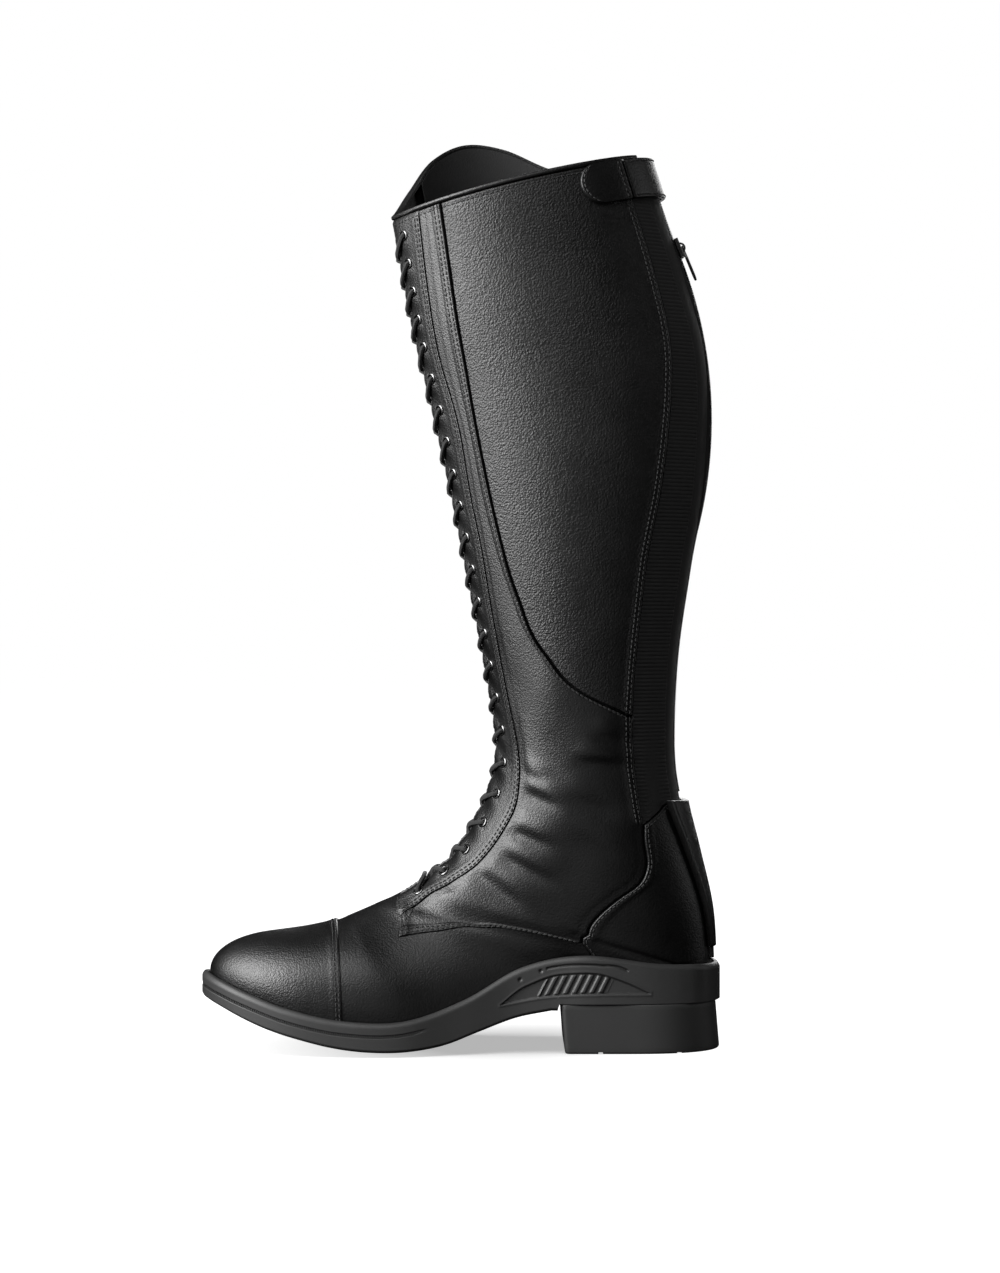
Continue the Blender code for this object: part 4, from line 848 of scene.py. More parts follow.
def tubes(paths, normals, radii, sides):
    """Points and faces of closed tubes along many short paths."""
    count, steps = paths.shape[:2]
    ahead = unit(np.gradient(paths, axis=1))
    beside = unit(np.cross(normals, ahead))
    upright = np.cross(ahead, beside)
    turn = np.arange(sides) * math.tau / sides
    ring = np.cos(turn)[:, None] * upright[:, :, None] + np.sin(turn)[:, None] * beside[:, :, None]
    verts = paths[:, :, None] + ring * np.asarray(radii)[..., None, None]
    one = tube_faces(steps, sides)
    faces = [face + number * steps * sides for number in range(count) for face in one]
    return verts.reshape(-1, 3), faces


def lathe(profile, frames, sides, closed=False):
    """Points and faces of a profile of radius and height turned about Z in each of many frames."""
    turn = np.arange(sides) * math.tau / sides
    flat = 0.0 * turn
    rings = [np.stack([r * np.cos(turn), r * np.sin(turn), flat + h, flat + 1.0], -1) for r, h in profile]
    local = np.concatenate(rings)
    index = hoops(np.arange(len(local)).reshape(len(profile), sides))
    if closed:
        index = np.concatenate([index, index[:1]])
    quads = strip(index[:-1], index[1:])
    verts = np.concatenate([(local @ np.array(matrix).T)[:, :3] for matrix in frames])
    faces = np.concatenate([quads + number * len(local) for number in range(len(frames))])
    return verts, faces


def flat_frame(place, p, q, lift):
    """Frame on a wrapped panel in millimetres: Z outwards."""
    low, high = place(p, q, lift), place(p, q, lift + 1.0)
    outward = Vector(high - low)
    turn = outward.to_track_quat("Z", "Y").to_matrix().to_4x4()
    return Matrix.Translation(Vector(low)) @ turn


def creased(places, p, q):
    """Height of the ankle's creases and of the leather's gentle swell."""
    x, z = places[..., 0], places[..., 2]
    rise, first, second = SWELL
    height = rise * np.sin(x * math.tau / first[0] + z * math.tau / first[1])
    height += rise * np.sin(x * math.tau / second[0] - z * math.tau / second[1])
    height *= band(z, *SWELL_SPAN)
    lift_share, apart, wide = CREASE_RIDGE
    for start, end, depth, width in CREASES:
        run = np.subtract(end, start)
        reach = np.linalg.norm(run)
        along = ((x - start[0]) * run[0] + (z - start[1]) * run[1]) / reach ** 2
        above = (run[0] * (z - start[1]) - run[1] * (x - start[0])) / reach
        share = band(along, *CREASE_RUN)
        valley = np.exp(-(above / width) ** 2)
        ridge = np.exp(-((above - apart * width) / (wide * width)) ** 2)
        height += depth * share * (lift_share * ridge - valley)
    return height * fade(p, 0.0, CREASE_EDGE)


class Panel:
    """Leather panel laid on the last by wrap(p, q, lift), with rounded and stitched edges.

    Each edge is a list of stretches: start, end, rise at the edge, and offsets of its stitch rows.
    """

    def __init__(self, wrap, layer, relief=None, **edges):
        self.wrap = wrap
        self.lift, self.thickness = layer
        self.relief = relief
        self.edges = {side: edges.get(side, ()) for side in ("front", "rear", "top", "foot")}
        p, q = np.meshgrid(np.linspace(0.0, 1.0, SAMPLES), FALL_PLACES, indexing="ij")
        places = wrap(p.ravel(), q.ravel(), self.lift).reshape(*p.shape, 3)
        self.falls = np.array([lengths(column) for column in places])
        self.long = self.falls[SAMPLES // 2, -1]

    def fall(self, p):
        """Distances from the top edge at FALL_PLACES, for each pattern place p."""
        spot = np.clip(p, 0.0, 1.0) * (SAMPLES - 1)
        low = np.minimum(spot.astype(int), SAMPLES - 2)
        return mix(self.falls[low], self.falls[low + 1], (spot - low)[:, None])

    def runs(self, q):
        """Distance across the panel from its front edge, for each row at SAMPLES places."""
        p, rows = np.meshgrid(np.linspace(0.0, 1.0, SAMPLES), q)
        places = self.wrap(p.ravel(), rows.ravel(), self.lift).reshape(len(q), SAMPLES, 3)
        steps = np.linalg.norm(np.diff(places, axis=1), axis=-1)
        return np.concatenate([np.zeros((len(q), 1)), np.cumsum(steps, axis=1)], axis=1)

    def across(self, q, distance):
        """Pattern place p at distances from the front edge, row by row."""
        u = np.linspace(0.0, 1.0, SAMPLES)
        return np.array([np.interp(d, run, u) for d, run in zip(distance, self.runs(q))])

    def height(self, p, q, front, rear):
        """Height of the outer face over the panel's level at a pattern place."""
        falls = self.fall(p)
        spot = np.clip(q, 0.0, 1.0) * (len(FALL_PLACES) - 1)
        low = np.minimum(spot.astype(int), len(FALL_PLACES) - 2)
        every = np.arange(len(p))
        top = mix(falls[every, low], falls[every, low + 1], spot - low)
        foot = falls[:, -1] - top
        total = np.zeros_like(front)
        for side, away, place in (("front", front, q), ("rear", rear, q), ("top", top, p), ("foot", foot, p)):
            if not self.edges[side]:
                continue
            drop = np.clip(1.0 - away / EDGE_ROUNDING, 0.0, 1.0)
            total -= EDGE_ROUNDING * (1.0 - np.sqrt(1.0 - drop ** 2))
            for start, end, rise, rows in self.edges[side]:
                share = fade(place, start - STRETCH_FADE, start + STRETCH_FADE) if start > 0 else 1.0
                share = share * (fade(place, end + STRETCH_FADE, end - STRETCH_FADE) if end < 1 else 1.0)
                total += rise * share * fade(away, *EDGE_REACH)
                for row in rows:
                    total -= STITCH_SINK * share * np.exp(-((away - row) / STITCH_SINK_WIDTH) ** 2)
        if self.relief:
            total += self.relief(self.wrap(p, q, self.lift), p, q)
        return total

    def edge_places(self, long):
        """Distances of the close rows at an edge, closer still on a short stretch."""
        return np.array(EDGE_OFFSETS) * min(1.0, long / EDGE_ROOM)

    def spaced(self, long, step):
        """Distances along a stretch, close together at both ends."""
        ends = self.edge_places(long)
        count = max(2, int((long - 2 * ends[-1]) / step))
        middle = np.linspace(ends[-1], long - ends[-1], count + 1)[1:-1]
        return np.concatenate([ends, middle, long - ends[::-1]])

    def mesh(self, name, step=PANEL_STEP, row_step=None, tip=False):
        """Closed mesh of the panel: outer face, inner face and the edges between them."""
        q = np.interp(self.spaced(self.long, row_step or step), self.falls[SAMPLES // 2], FALL_PLACES)
        runs = self.runs(q)
        widest = self.spaced(runs[:, -1].max(), step)
        ends = len(EDGE_OFFSETS)
        inner = np.linspace(0.0, 1.0, len(widest) - 2 * ends + 2)[1:-1]
        distance = []
        for wide in runs[:, -1]:
            edge = self.edge_places(wide)
            distance.append(np.concatenate([edge, mix(edge[-1], wide - edge[-1], inner), wide - edge[::-1]]))
        distance = np.array(distance)
        p = self.across(q, distance)
        rows, columns = p.shape
        flat_p, flat_q = p.ravel(), np.repeat(q, columns)
        rear = (runs[:, -1:] - distance).ravel()
        height = self.height(flat_p, flat_q, distance.ravel(), rear)
        outer = self.wrap(flat_p, flat_q, self.lift + height)
        under = self.wrap(flat_p, flat_q, self.lift - self.thickness + np.minimum(height, 0.0))
        index = np.arange(rows * columns).reshape(rows, columns)
        quads = strip(index[:-1], index[1:])
        faces = [quads, quads[:, ::-1] + rows * columns]
        borders = [index[:, 0], index[::-1, -1], index[0, ::-1]]
        if not tip:
            borders.append(index[-1])
        for border in borders:
            faces.append(strip(border, border + rows * columns))
        return mesh_from(name, np.concatenate([outer, under]), np.concatenate(faces), merge=tip)

    def row_path(self, side, start, end, row):
        """Pattern places of a stitch row at an offset from an edge."""
        fine = np.linspace(start, end, ROW_SAMPLES)
        if side in ("front", "rear"):
            runs = self.runs(fine)
            away = np.full(len(fine), row) if side == "front" else runs[:, -1] - row
            return self.across(fine, away[:, None])[:, 0], fine
        falls = self.fall(fine)
        away = np.full(len(fine), row) if side == "top" else falls[:, -1] - row
        return fine, np.array([np.interp(d, column, FALL_PLACES) for d, column in zip(away, falls)])

    def stitches(self):
        """Paths and normals of every stitch along the panel's stitch rows."""
        paths, normals = [], []
        for side, stretches in self.edges.items():
            for start, end, _, rows in stretches:
                for row in rows:
                    p, q = self.row_path(side, start, end, row)
                    run = lengths(self.wrap(p, q, self.lift))
                    count = max(1, int(run[-1] / STITCH_PITCH))
                    middle = (np.arange(count) + 0.5) * run[-1] / count
                    along, rise, _ = np.array(STITCH_SHAPE).T
                    spots = (middle[:, None] + along * STITCH_LENGTH).ravel()
                    at_p, at_q = np.interp(spots, run, p), np.interp(spots, run, q)
                    widths = self.runs(at_q)
                    places = np.linspace(0.0, 1.0, SAMPLES)
                    front = np.array([np.interp(a, places, w) for a, w in zip(at_p, widths)])
                    base = self.lift + self.height(at_p, at_q, front, widths[:, -1] - front)
                    low = self.wrap(at_p, at_q, base + np.tile(rise, count))
                    high = self.wrap(at_p, at_q, base + np.tile(rise, count) + 1.0)
                    paths.append(low.reshape(count, len(along), 3))
                    normals.append(unit(high - low).reshape(count, len(along), 3))
        return paths, normals


def sew(name, panels, slot, body="boot"):
    """One piece of thread for all the stitches of some panels."""
    paths, normals = [], []
    for panel in panels:
        more_paths, more_normals = panel.stitches()
        paths += more_paths
        normals += more_normals
    radii = THREAD_RADIUS * np.array(STITCH_SHAPE)[:, 2]
    verts, faces = tubes(np.concatenate(paths), np.concatenate(normals), radii, THREAD_SIDES)
    mesh = mesh_from(name, verts, faces)
    piece(name, mesh, slot, body=body, finish=THREAD)


def toe_cap_panel():
    def wrap(p, q, lift):
        s = mix(CAP_LINE + SEAM_STEP, TOE_TIP, q)
        return surface(s, mix(-UPPER_FOOT, UPPER_FOOT, p), lift)

    return Panel(wrap, OVERLAY, top=[CAP_TOP])


def vamp_panel():
    def wrap(p, q, lift):
        half = 1.0 - np.abs(2.0 * q - 1.0)
        wing = np.clip(half / VAMP_WING, 0.0, 1.0)
        nib = np.clip((half - VAMP_WING) / (VAMP_NIB - VAMP_WING), 0.0, 1.0)
        throat = np.clip((half - VAMP_NIB) / (1.0 - VAMP_NIB), 0.0, 1.0)
        corner, foot = VAMP_CORNER + NIB_STEP, FACING_FOOT + NIB_STEP
        throat_s = mix(foot, THROAT_EDGE, throat ** THROAT_TURN)
        front_s = np.where(half < VAMP_NIB, mix(corner, foot, nib), throat_s)
        edge_s = np.where(half < VAMP_WING, mix(VAMP_TAIL, corner, wing), front_s)
        corner_t = vamp_seam(VAMP_CORNER) + GIRTH_GAP
        foot_t = facing_seam(FACING_FOOT) + GIRTH_GAP
        front_t = np.where(half < VAMP_NIB, mix(corner_t, foot_t, nib), mix(foot_t, 0.0, throat))
        edge_t = np.where(half < VAMP_WING, vamp_seam(edge_s) + GIRTH_GAP, front_t)
        base_s = mix(COUNTER_TAIL + SEAM_STEP, CAP_LINE + 2 * SEAM_STEP, wing)
        base_t = mix(UPPER_FOOT, 0.0, np.clip((half - VAMP_WING) / (1.0 - VAMP_WING), 0.0, 1.0))
        side = np.where(q < 0.5, -1.0, 1.0)
        return surface(mix(edge_s, base_s, p), side * mix(edge_t, base_t, p), lift)

    return Panel(wrap, UPPER)


def quarter_edge(s):
    """Rear and lower edge of the quarter: calf seam, elastic seam, counter edge, then vamp seam."""
    upper = np.where(s < CALF_FOOT, calf_seam(s), elastic_seam(s))
    lower = np.where(s < VAMP_TAIL, counter_seam(s), vamp_seam(s))
    return np.where(s < COUNTER_HEAD, upper, lower)


def quarter_panel(side):
    rows = np.cumsum([0, CALF_ROWS, ANKLE_ROWS, COUNTER_ROWS, WING_ROWS])
    rungs = rows / rows[-1]
    top = seam_head(facing_seam, side) + SECTION_GAP
    front_s = (top, *QUARTER_FRONT, FACING_FOOT)
    rear_s = (0.0, CALF_FOOT, COUNTER_HEAD, VAMP_TAIL, VAMP_CORNER)

    def wrap(p, q, lift):
        front = np.interp(q, rungs, front_s)
        rear = np.where(q < rungs[1], calf_section(q / rungs[1], side), np.interp(q, rungs, rear_s))
        t = mix(facing_seam(front) - 4 * GIRTH_GAP, quarter_edge(rear) - GIRTH_GAP, p)
        return surface(mix(front, rear, p), side * t, lift)

    rear_edge = [
        (0.0, rungs[1], OVERLAP_RISE, DOUBLE_ROW),
        (rungs[1], rungs[2], OVERLAP_RISE, DOUBLE_ROW),
        (rungs[2], rungs[3], TUCK_RISE, ()),
        (rungs[3], 1.0, OVERLAP_RISE, DOUBLE_ROW),
    ]
    edges = {"front": [TUCKED_EDGE], "rear": rear_edge, "top": [TOP_EDGE], "foot": [LAPPED_EDGE]}
    return Panel(wrap, UPPER, creased, **edges)


def calf_panel(side):
    ends = [seam_head(curve, side) for curve in (calf_seam, elastic_seam)]

    def wrap(p, q, lift):
        head = mix(calf_seam(ends[0]), elastic_seam(ends[1]), p)
        front = calf_section(q, side)
        rear = mix(ends[1] + SECTION_GAP, CALF_FOOT, q)
        t = mix(calf_seam(front) + GIRTH_GAP, elastic_seam(rear) - GIRTH_GAP, p)
        level = mix(front, rear, p) + (1.0 - q) ** 2 * (top_section(head, side) - mix(*ends, p))
        return surface(level - SEAM_STEP * q, side * t, lift)

    return Panel(wrap, UPPER, front=[TUCKED_EDGE], rear=[LAPPED_EDGE], top=[TOP_EDGE])


def shaft_lining_panel(side):
    ends = [facing_seam(seam_head(facing_seam, side)), elastic_seam(seam_head(elastic_seam, side))]

    def wrap(p, q, lift):
        head = top_section(mix(*ends, p), side)
        for _ in range(LINING_ROUNDS):
            head = top_section(mix(facing_seam(head) + LINING_GAP, elastic_seam(head) - LINING_GAP, p), side)
        s = mix(head, LINING_SEAM, q)
        t = mix(facing_seam(s) + LINING_GAP, elastic_seam(s) - LINING_GAP, p)
        return surface(s, side * t, lift)

    return Panel(wrap, SHAFT_LINING)


def quarter_lining_panel(side):
    def wrap(p, q, lift):
        s = mix(LINING_SEAM + LINING_STEP, THROAT + LINING_STEP, q)
        rear = np.where(s < HEEL_SEAT, back_girth(np.minimum(s, HEEL_SEAT), LINING_BACK), LINING_FOOT)
        return surface(s, side * mix(facing_seam(s) + LINING_GAP, rear, p), lift)

    return Panel(wrap, FOOT_LINING)


def elastic_panel(side):
    rows = CALF_ROWS + ANKLE_ROWS
    knee = CALF_ROWS / rows

    def wrap(p, q, lift):
        t_head = mix(elastic_seam(TOPLINE), back_girth(TOPLINE, ZIP_HALF_WIDTH), p)
        t_foot = mix(elastic_seam(COUNTER_HEAD), back_girth(COUNTER_HEAD, ZIP_HALF_WIDTH), p)
        head, foot = top_section(t_head, side) + SECTION_GAP, counter_head(t_foot) - SEAM_STEP
        upper, lower = mix(head, CALF_FOOT, q / knee), mix(CALF_FOOT, foot, (q - knee) / (1.0 - knee))
        s = np.where(q < knee, upper, lower)
        t = mix(elastic_seam(s) + GIRTH_GAP, back_girth(s, ZIP_HALF_WIDTH) - GIRTH_GAP, p)
        return surface(s, side * t, lift)

    def ribs(places, p, q):
        return RIB_RISE * (np.abs(np.sin(places[..., 2] * math.pi / RIB_PITCH)) - 1.0)

    return Panel(wrap, UPPER, ribs, rear=[ELASTIC_REAR])


def zip_tape_panel(side):
    def wrap(p, q, lift):
        s = mix(TOPLINE + SECTION_GAP, counter_head(1.0) - 2 * SECTION_GAP, q)
        t = mix(back_girth(s, ZIP_HALF_WIDTH) + GIRTH_GAP, back_girth(s, TAPE_INNER), p)
        return surface(s, side * t, lift)

    return Panel(wrap, TAPE)


def counter_panel(side):
    rows = COUNTER_ROWS + TAIL_ROWS
    rungs = (0.0, COUNTER_ROWS / rows, 1.0)
    front_s = (COUNTER_HEAD, VAMP_TAIL, COUNTER_TAIL)
    back_s = (float(counter_head(1.0)), HEEL_SEAT, WAIST - COUNTER_HEEL)
    tail_t = float(counter_seam(VAMP_TAIL))

    def wrap(p, q, lift):
        front, back = np.interp(q, rungs, front_s), np.interp(q, rungs, back_s)
        tail = np.interp(q, rungs, (0.0, tail_t, UPPER_FOOT))
        front_t = np.where(q < rungs[1], counter_seam(front), tail)
        at_back = back_girth(np.minimum(back, HEEL_SEAT), BACK_SEAM_GAP)
        back_t = np.where(back < HEEL_SEAT, at_back, UPPER_FOOT)
        t = np.minimum(mix(front_t + 2 * GIRTH_GAP, back_t, p), UPPER_FOOT)
        near = np.clip(1.0 - q / rungs[1], 0.0, 1.0) ** 2
        climb = counter_head(t) - mix(COUNTER_HEAD, back_s[0], p)
        return surface(mix(front, back, p) + near * climb, side * t, lift)

    return Panel(wrap, OVERLAY, front=[COUNTER_FRONT], top=[COUNTER_TOP])


def guard_panel():
    def wrap(p, q, lift):
        width = mix(*GUARD_HALF_WIDTH, q)
        fold = GUARD_FOLD_RISE * fade(np.abs(2 * p - 1), *GUARD_FOLD)
        return back_strip(mix(*GUARD_SPAN, q), mix(-width, width, p), lift + fold)

    return Panel(wrap, GUARD, front=[PLAIN_EDGE], rear=[PLAIN_EDGE], top=[PLAIN_EDGE], foot=[PLAIN_EDGE])


def back_tab_panel():
    def wrap(p, q, lift):
        y = mix(-BACK_TAB_HALF_WIDTH, BACK_TAB_HALF_WIDTH, p)
        return back_strip(mix(*BACK_TAB_SPAN, q), y, lift)

    return Panel(wrap, BACK_TAB, front=[PLAIN_EDGE], rear=[PLAIN_EDGE])


def tongue_panel():
    def wrap(p, q, lift):
        v = 2.0 * p - 1.0
        s = mix(TOPLINE + SEAM_STEP, TONGUE_FOOT, q)
        reach = facing_seam(s) * TONGUE_REACH
        left, right = surface(s, -reach, lift), surface(s, reach, lift)
        ahead = unit(np.stack([FRONT_X(s) - END_X(s), 0.0 * s, FRONT_Z(s) - END_Z(s)], -1))
        axis = mix(ahead, np.array(INSTEP_NORMAL), fade(s, ANKLE, HEEL_SEAT)[:, None])
        ridge = last(s, 0.0 * s) + axis * np.broadcast_to(lift, s.shape)[:, None]
        bow = (left + right) / 2 - ridge
        return ridge + (right - left) / 2 * v[:, None] + bow * (v ** 2)[:, None]

    return Panel(wrap, TONGUE, top=[PLAIN_EDGE])


def strap_rounding(q):
    return STRAP_ROUNDING * (1.0 - np.sqrt(np.clip(1.0 - (2.0 * q - 1.0) ** 2, 0.0, 1.0)))


def strap_rise(v):
    """Height of the strap over its sewn tab, rising towards the snap."""
    return STRAP_RISE * fade(v, *STRAP_RISE_GIRTH)


def tab_panel():
    def wrap(p, q, lift):
        return surface(mix(*STRAP_SPAN, q), -mix(TAB_GIRTH[0] + strap_rounding(q), TAB_GIRTH[1], p), lift)

    return Panel(wrap, TAB, front=[TAB_FRONT], rear=[TAB_REAR], top=[PLAIN_EDGE], foot=[PLAIN_EDGE])


def strap_panel():
    def wrap(p, q, lift):
        v = mix(STRAP_START - 1.0, 1.0 - STRAP_END - strap_rounding(q), p)
        w = np.where(v < 0, -1.0 - v, 1.0 - v)
        return surface(mix(*STRAP_SPAN, q), w, lift + strap_rise(v))

    return Panel(wrap, TAB, front=[PLAIN_EDGE], rear=[STRAP_REAR], top=[STRAP_LENGTH], foot=[STRAP_LENGTH])


def facing_edge(s):
    return front_girth(s, FACING_GAP / 2)


def facing_place(side):
    """Wrap for a facing: p runs from its front edge to its seam, q evenly down its length."""
    edge_rows = even_rows(facing_edge, TOPLINE + SECTION_GAP, THROAT)
    seam_rows = even_rows(facing_seam, TOPLINE + SECTION_GAP, FACING_FOOT)

    def place(p, q, lift):
        edge, rear = edge_rows(q), seam_rows(q)
        t = mix(facing_edge(edge), facing_seam(rear) - GIRTH_GAP, p)
        lead = smoothstep(1.0 - np.asarray(q) / FACING_RISE) if side > 0 else 0.0
        s = mix(edge, rear, p) + lead * (top_section(t, side) - TOPLINE)
        return surface(s, side * t, OVERLAY[0] + lift)

    rows = place(EYELET_PLACE, np.linspace(0.0, 1.0, CURVE_SAMPLES), 0.0)
    return place, float(lengths(rows)[-1])


def eyelet_rows(length):
    """Eyelet places along the facing as fractions of its length, a little closer at the top."""
    steps = np.where(np.arange(EYELETS - 1) < CLOSE_EYELETS, CLOSE_PITCH, 1.0)
    run = np.concatenate([[0.0], np.cumsum(steps)]) / steps.sum()
    return mix(EYELET_HEAD / length, 1.0 - EYELET_FOOT / length, run)


def facing_panel(side):
    place, length = facing_place(side)
    rows = eyelet_rows(length)

    def wrap(p, q, lift):
        return place(p, q, lift - OVERLAY[0])

    def puckers(places, p, q):
        """Bulges of the front edge between the lace's crossings."""
        turn = np.interp(q, rows, np.arange(EYELETS)) - PUCKER_PHASE
        return PUCKER_RISE * np.cos(turn * math.tau) * fade(p, *PUCKER_SPAN)

    edges = {"front": [FACING_FRONT], "rear": [FACING_REAR], "top": [FACING_TOP], "foot": [FACING_BASE]}
    return Panel(wrap, OVERLAY, puckers, **edges)


def facing_grid(panel, length):
    """Rows, distances from the front edge, and first row of each eyelet's block of faces."""
    centres = eyelet_rows(length)
    block = EYELET_BLOCK / length
    ends = np.concatenate([[0.0], (centres[1:] + centres[:-1]) / 2, [1.0]])
    steps = EYELET_SIDES // 4
    q, starts = [], []
    for centre, low, high in zip(centres, ends, ends[1:]):
        q += list(np.linspace(low, centre - block, FACING_ROW_STEPS)[:-1])
        starts.append(len(q))
        q += list(np.linspace(centre - block, centre + block, steps + 1))
        q += list(np.linspace(centre + block, high, FACING_ROW_STEPS)[1:-1])
    q = np.array(q + [1.0])
    offsets = np.array(EDGE_OFFSETS)
    head = offsets[:FACING_HEAD_COLUMNS] / offsets[FACING_HEAD_COLUMNS]
    tail = offsets[FACING_TAIL_COLUMNS:0:-1] / offsets[FACING_TAIL_COLUMNS + 1]
    middle = np.linspace(-EYELET_BLOCK, EYELET_BLOCK, steps + 1)
    distance = []
    for wide in panel.runs(q)[:, -1]:
        eye = EYELET_PLACE * wide
        room = wide - eye - EYELET_BLOCK
        before, after = head * (eye - EYELET_BLOCK), wide - tail * room
        distance.append(np.concatenate([before, eye + middle, after, [wide]]))
    return q, np.array(distance), starts


def facing_mesh(name, side):
    """Facing with round eyelet holes: a grid whose block at each eyelet is a ring of faces."""
    panel = facing_panel(side)
    place, length = facing_place(side)
    q, distance, starts = facing_grid(panel, length)
    p = panel.across(q, distance)
    rows, columns = p.shape
    flat_p, flat_q = p.ravel(), np.repeat(q, columns)
    height = panel.height(flat_p, flat_q, distance.ravel(), (distance[:, -1:] - distance).ravel())
    outer = place(flat_p, flat_q, height)
    under = place(flat_p, flat_q, 0.0 * height - OVERLAY[1])
    total = rows * columns
    index = np.arange(total).reshape(rows, columns)
    steps = EYELET_SIDES // 4
    blocks = [np.s_[start:start + steps, FACING_HEAD_COLUMNS:FACING_HEAD_COLUMNS + steps] for start in starts]
    keep = np.ones((rows - 1, columns - 1), bool)
    for block in blocks:
        keep[block] = False
    quads = strip(index[:-1], index[1:])[keep.ravel()]
    verts, faces = [outer, under], [quads, quads[:, ::-1] + total]
    count = 2 * total
    for down, along in blocks:
        square = index[down.start:down.stop + 1, along.start:along.stop + 1]
        border = np.concatenate([square[0, :-1], square[:-1, -1], square[-1, :0:-1], square[:0:-1, 0]])
        rim = []
        for level, base in enumerate((outer, under)):
            corner = base[border]
            heart = corner.mean(axis=0)
            hole = heart + unit(corner - heart) * EYELET_HOLE
            previous = border + level * total
            for ring in range(1, EYELET_RINGS + 1):
                verts.append(mix(corner, hole, ring / EYELET_RINGS))
                current = count + np.arange(EYELET_SIDES)
                count += EYELET_SIDES
                faces.append(strip(hoops(previous), hoops(current)))
                previous = current
            rim.append(previous)
        faces.append(strip(hoops(rim[0]), hoops(rim[1])))
    for border in (index[:, 0], index[::-1, -1], index[0, ::-1], index[-1]):
        faces.append(strip(border, border + total))
    return panel, mesh_from(name, np.concatenate(verts), np.concatenate(faces))


def make_eyelets(name, side):
    place, length = facing_place(side)
    frames = [flat_frame(place, EYELET_PLACE, row, 0.0) for row in eyelet_rows(length)]
    verts, faces = lathe(EYELET_PROFILE, frames, EYELET_SIDES, closed=True)
    piece("eyelets_" + name, mesh_from("eyelets", verts, faces), "dark_metal", finish=EYELET_METAL)


def lace_route():
    """Points of the lace: tucked tail, up and down through every eyelet, bar at the foot, other tail."""
    over = OVERLAY[0] + LACE_CLEARANCE + LACE_RADIUS
    under = OVERLAY[0] - OVERLAY[1] - LACE_CLEARANCE - LACE_RADIUS
    places = {side: facing_place(side) for side in (-1, 1)}
    length = places[1][1]
    rows = eyelet_rows(length)[::-1]

    def spot(side, row, p, lift):
        return places[side][0](p, row, lift - OVERLAY[0])

    def crossing(side, low, high, lead):
        """From the eyelet at low on one side, under its facing, over the other, to high."""
        rise = mix(*LACE_RISE, fade(low, INSTEP_ROW, 1.0))
        mid = mix(low, high, LACE_MIDDLE * rise)
        under_edge = spot(side, mix(low, high, LACE_UNDER * rise), LACE_EDGE, under)
        over_edge = spot(-side, mix(low, high, rise), LACE_EDGE, over)
        gap = (spot(side, mid, 0.0, 0.0) + spot(-side, mid, 0.0, 0.0)) / 2
        out = spot(side, mid, 0.0, 1.0) + spot(-side, mid, 0.0, 1.0) - 2 * gap
        out /= np.linalg.norm(out)
        level = (under + over) / 2 + lead * LACE_CROSSING
        return [under_edge, gap + out * level, over_edge]

    def eyelet(side, row):
        return [spot(side, row, EYELET_PLACE, lift) for lift in (over + LACE_ENTRY[0], under + LACE_ENTRY[1])]

    def climb(side, lead):
        points = eyelet(side, rows[0])
        for number in range(EYELETS - 1):
            points += crossing(side, rows[number], rows[number + 1], lead)
            side, lead = -side, -lead
            points += eyelet(side, rows[number + 1])
        tail = LACE_TAIL / length
        return points + [spot(side, rows[-1] + f * tail, p, under - LACE_TUCK_DEPTH) for f, p in LACE_TUCK]

    bar_row = rows[0] - BAR_STEP / length
    bar_lift = over + LACE_RADIUS
    middle = (spot(-1, bar_row, 0.0, bar_lift) + spot(1, bar_row, 0.0, bar_lift)) / 2
    bar = [spot(-1, bar_row, BAR_EDGE, bar_lift), middle, spot(1, bar_row, BAR_EDGE, bar_lift)]
    return np.array(climb(-1, 1.0)[::-1] + bar + climb(1, -1.0))


def curve_through(points, step):
    """Smooth path through points, at even steps."""
    gaps = np.sqrt(np.linalg.norm(np.diff(points, axis=0), axis=-1))
    knots = np.concatenate([[0.0], np.cumsum(gaps)])
    fine = np.linspace(0.0, knots[-1], CURVE_DENSITY * len(points))
    path = np.stack([smooth(knots, points[:, axis])(fine) for axis in range(3)], -1)
    run = lengths(path)
    even = np.linspace(0.0, run[-1], int(run[-1] / step))
    return np.stack([np.interp(even, run, path[:, axis]) for axis in range(3)], -1)


def make_lace():
    """Round braided cord along the lace's route."""
    path = curve_through(lace_route(), LACE_STEP)
    ahead = unit(np.gradient(path, axis=0))
    beside = np.cross(ahead[0], (0.0, 0.0, 1.0))
    rolled = []
    for direction in ahead:
        beside = beside - direction * (beside @ direction)
        beside /= np.linalg.norm(beside)
        rolled.append(beside)
    beside = np.array(rolled)
    upright = np.cross(ahead, beside)
    turn = np.arange(LACE_SIDES) * math.tau / LACE_SIDES
    depth, strands, pitch = BRAID
    run = (np.arange(len(path)) * LACE_STEP / pitch)[:, None]
    braid = np.cos(strands * turn + run) * np.cos(strands * turn - run)
    radius = (LACE_RADIUS + depth * braid)[..., None]
    ring = np.cos(turn)[:, None] * beside[:, None] + np.sin(turn)[:, None] * upright[:, None]
    verts = (path[:, None] + ring * radius).reshape(-1, 3)
    mesh = mesh_from("lace_cord", verts, tube_faces(len(path), LACE_SIDES))
    piece("lace_cord", mesh, "lace_cord", ["lace"])


